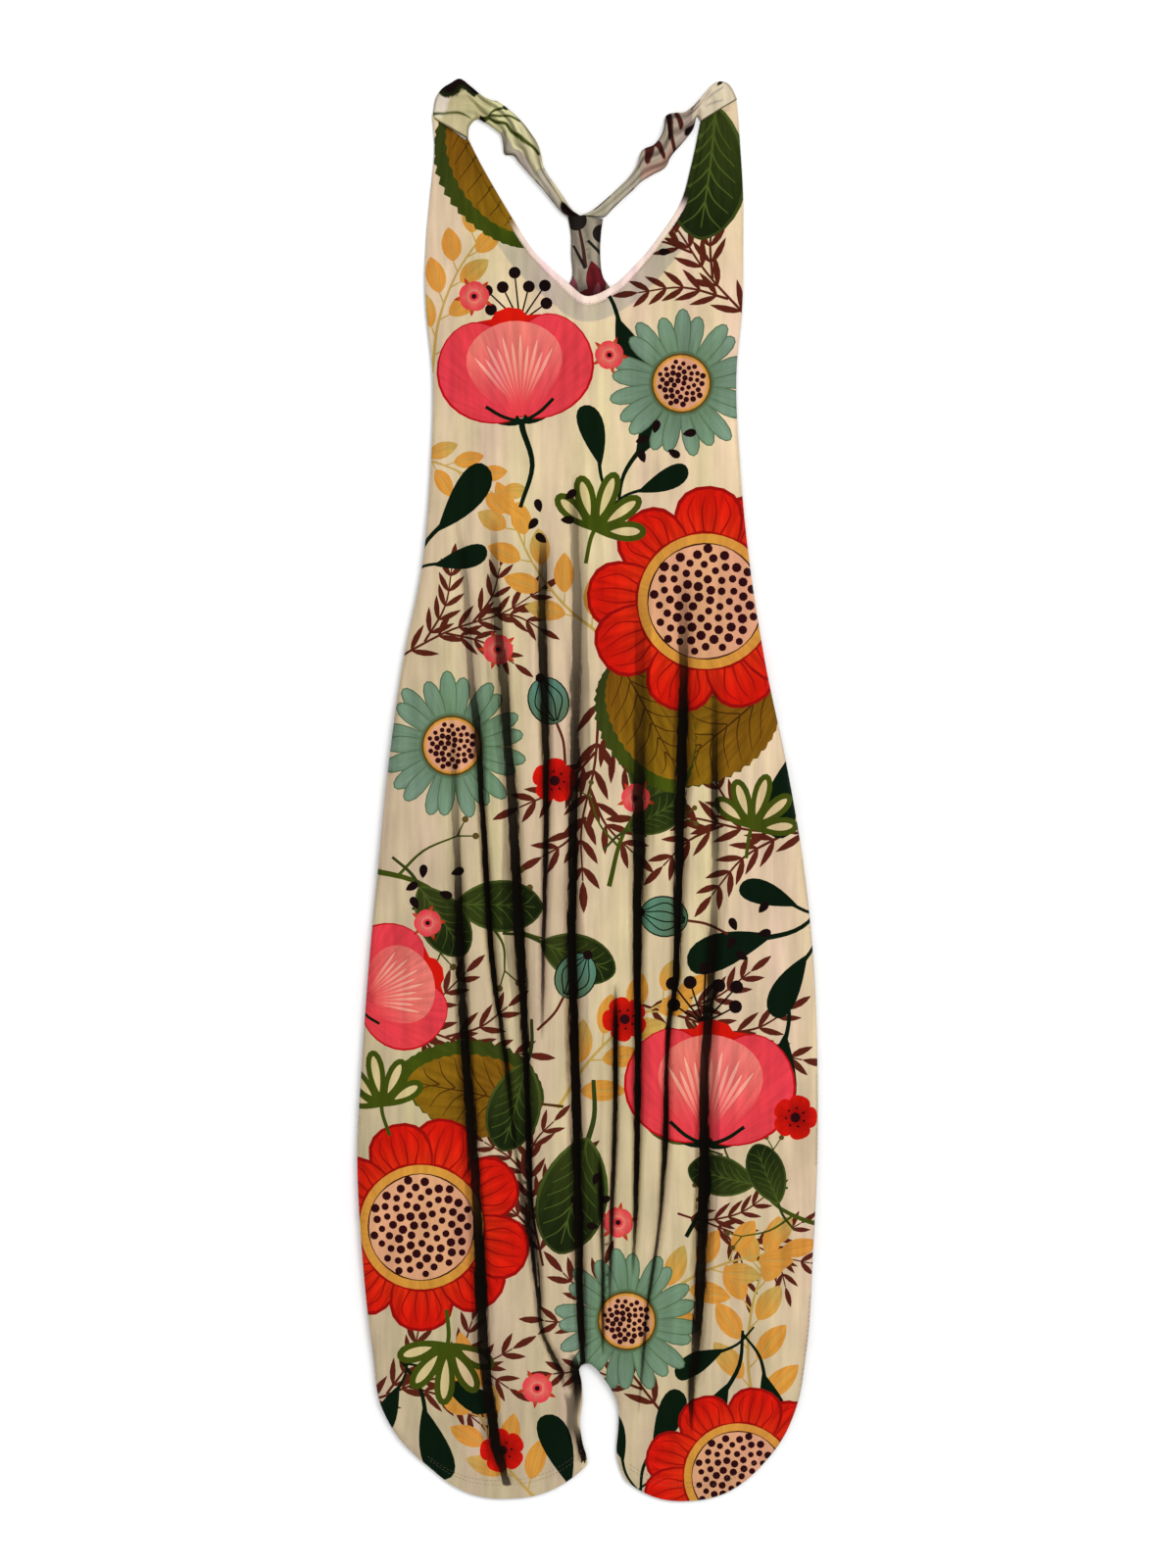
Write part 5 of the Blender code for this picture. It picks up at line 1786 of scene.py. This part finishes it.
class ROMPER_OT_stitches(bpy.types.Operator):
    """Sew the hems and the neck binding"""

    bl_idname = "romper.stitches"
    bl_label = "Stitches"

    def execute(self, context):
        settings = context.scene.romper
        form = FrontForm()
        tree = stitch_tree()
        material = thread_material("sewing_thread", settings.stitch.colour)
        lift = settings.stitch.thickness / MM * 0.25

        def on_front(line):
            line = spaced(line, 1.5)
            return np.column_stack([line, form.heights(line, settings.cloth) + lift])

        low = min(SIDES)
        left_end = (INSEAMS[-1].left_x, INSEAMS[-1].left_y)
        right_end = (INSEAMS[-1].right_x, INSEAMS[-1].right_y)
        hems = []
        for side_x, inner, dip, way in (
            (low.left, left_end, LEFT_HEM_DIP, 1), (low.right, right_end, RIGHT_HEM_DIP, -1),
        ):
            for row in HEM_ROWS:
                start = (side_x - way * row * 0.5, low.y + row)
                end = (inner[0] - way * 1.5, inner[1] + row)
                hems.append(on_front(hem(start, end, dip)[1:-1]))
        stitched("hem_stitches", hems, tree, settings.stitch, material)
        neck = spaced(opening(), 2)
        off = band_widths(neck) * NECK_SEAM_AT
        line = neck + normals_of(neck) * off[:, None]
        height = rest(line[:, 1]) + BAND_HEIGHT * NECK_SEAM_RISE + lift
        seam = np.column_stack([line, height])[line[:, 1] < NECK_SEAM_TOP]
        stitched("neck_stitches", [seam], tree, settings.stitch, material)
        return {"FINISHED"}


# The floor and the large soft light, in metres
FLOOR_HALF = 8.0
FLOOR_GAP = 0.0004
WINDOW_AT = (3.2, 2.6, 5.2)
WINDOW_SIZE = 2.2


class ROMPER_OT_stage(bpy.types.Operator):
    """Set up the floor, the lights and the camera"""

    bl_idname = "romper.stage"
    bl_label = "Stage"

    def execute(self, context):
        scene = context.scene
        settings = scene.romper.stage
        mesh = bpy.data.meshes.new("floor")
        square = ((-1, -1), (1, -1), (1, 1), (-1, 1))
        corners = [(x * FLOOR_HALF, y * FLOOR_HALF, -FLOOR_GAP) for x, y in square]
        mesh.from_pydata(corners, [], [(0, 1, 2, 3)])
        mesh.materials.append(floor_material(settings.floor))
        floor = bpy.data.objects.new("floor", mesh)
        scene.collection.objects.link(floor)
        lens = bpy.data.cameras.new("camera")
        lens.lens = settings.lens
        lens.clip_end = 50
        camera = bpy.data.objects.new("camera", lens)
        camera.location = (settings.centre[0], settings.centre[1], settings.height)
        scene.collection.objects.link(camera)
        scene.camera = camera
        sky = bpy.data.worlds.new("studio")
        sky.use_nodes = True
        light = sky.node_tree.nodes["Background"]
        light.inputs["Color"].default_value = (1, 1, 1, 1)
        light.inputs["Strength"].default_value = settings.sky
        scene.world = sky
        lamp = bpy.data.lights.new("window", "AREA")
        lamp.shape = "RECTANGLE"
        lamp.size, lamp.size_y = WINDOW_SIZE, WINDOW_SIZE
        lamp.energy = settings.key
        window = bpy.data.objects.new("window", lamp)
        window.location = WINDOW_AT
        window.rotation_euler = (-Vector(WINDOW_AT)).to_track_quat("-Z", "Y").to_euler()
        scene.collection.objects.link(window)
        scene.view_settings.view_transform = "Standard"
        scene.view_settings.look = "None"
        return {"FINISHED"}


class ROMPER_PT_panel(bpy.types.Panel):
    """The romper's settings and its makers"""

    bl_label = "Romper"
    bl_idname = "ROMPER_PT_panel"
    bl_space_type = "VIEW_3D"
    bl_region_type = "UI"
    bl_category = "Romper"

    def draw(self, context):
        settings = context.scene.romper
        for group in (settings.cloth, settings.stitch, settings.stage):
            box = self.layout.box()
            for name in group.__annotations__:
                box.prop(group, name)
        for maker in MAKERS:
            self.layout.operator(maker.bl_idname)


SETTINGS = (ClothSettings, StitchSettings, StageSettings, RomperSettings)
MAKERS = (
    ROMPER_OT_stage,
    ROMPER_OT_front,
    ROMPER_OT_back,
    ROMPER_OT_neck_binding,
    ROMPER_OT_straps,
    ROMPER_OT_stitches,
)


def register():
    for item in (*SETTINGS, *MAKERS, ROMPER_PT_panel):
        bpy.utils.register_class(item)
    bpy.types.Scene.romper = bpy.props.PointerProperty(type=RomperSettings)


def unregister():
    del bpy.types.Scene.romper
    for item in (ROMPER_PT_panel, *reversed(MAKERS), *reversed(SETTINGS)):
        bpy.utils.unregister_class(item)


def main():
    register()
    bpy.ops.romper.stage()
    bpy.ops.romper.front()
    bpy.ops.romper.back()
    bpy.ops.romper.neck_binding()
    bpy.ops.romper.straps()
    bpy.ops.romper.stitches()


if __name__ == "__main__":
    main()
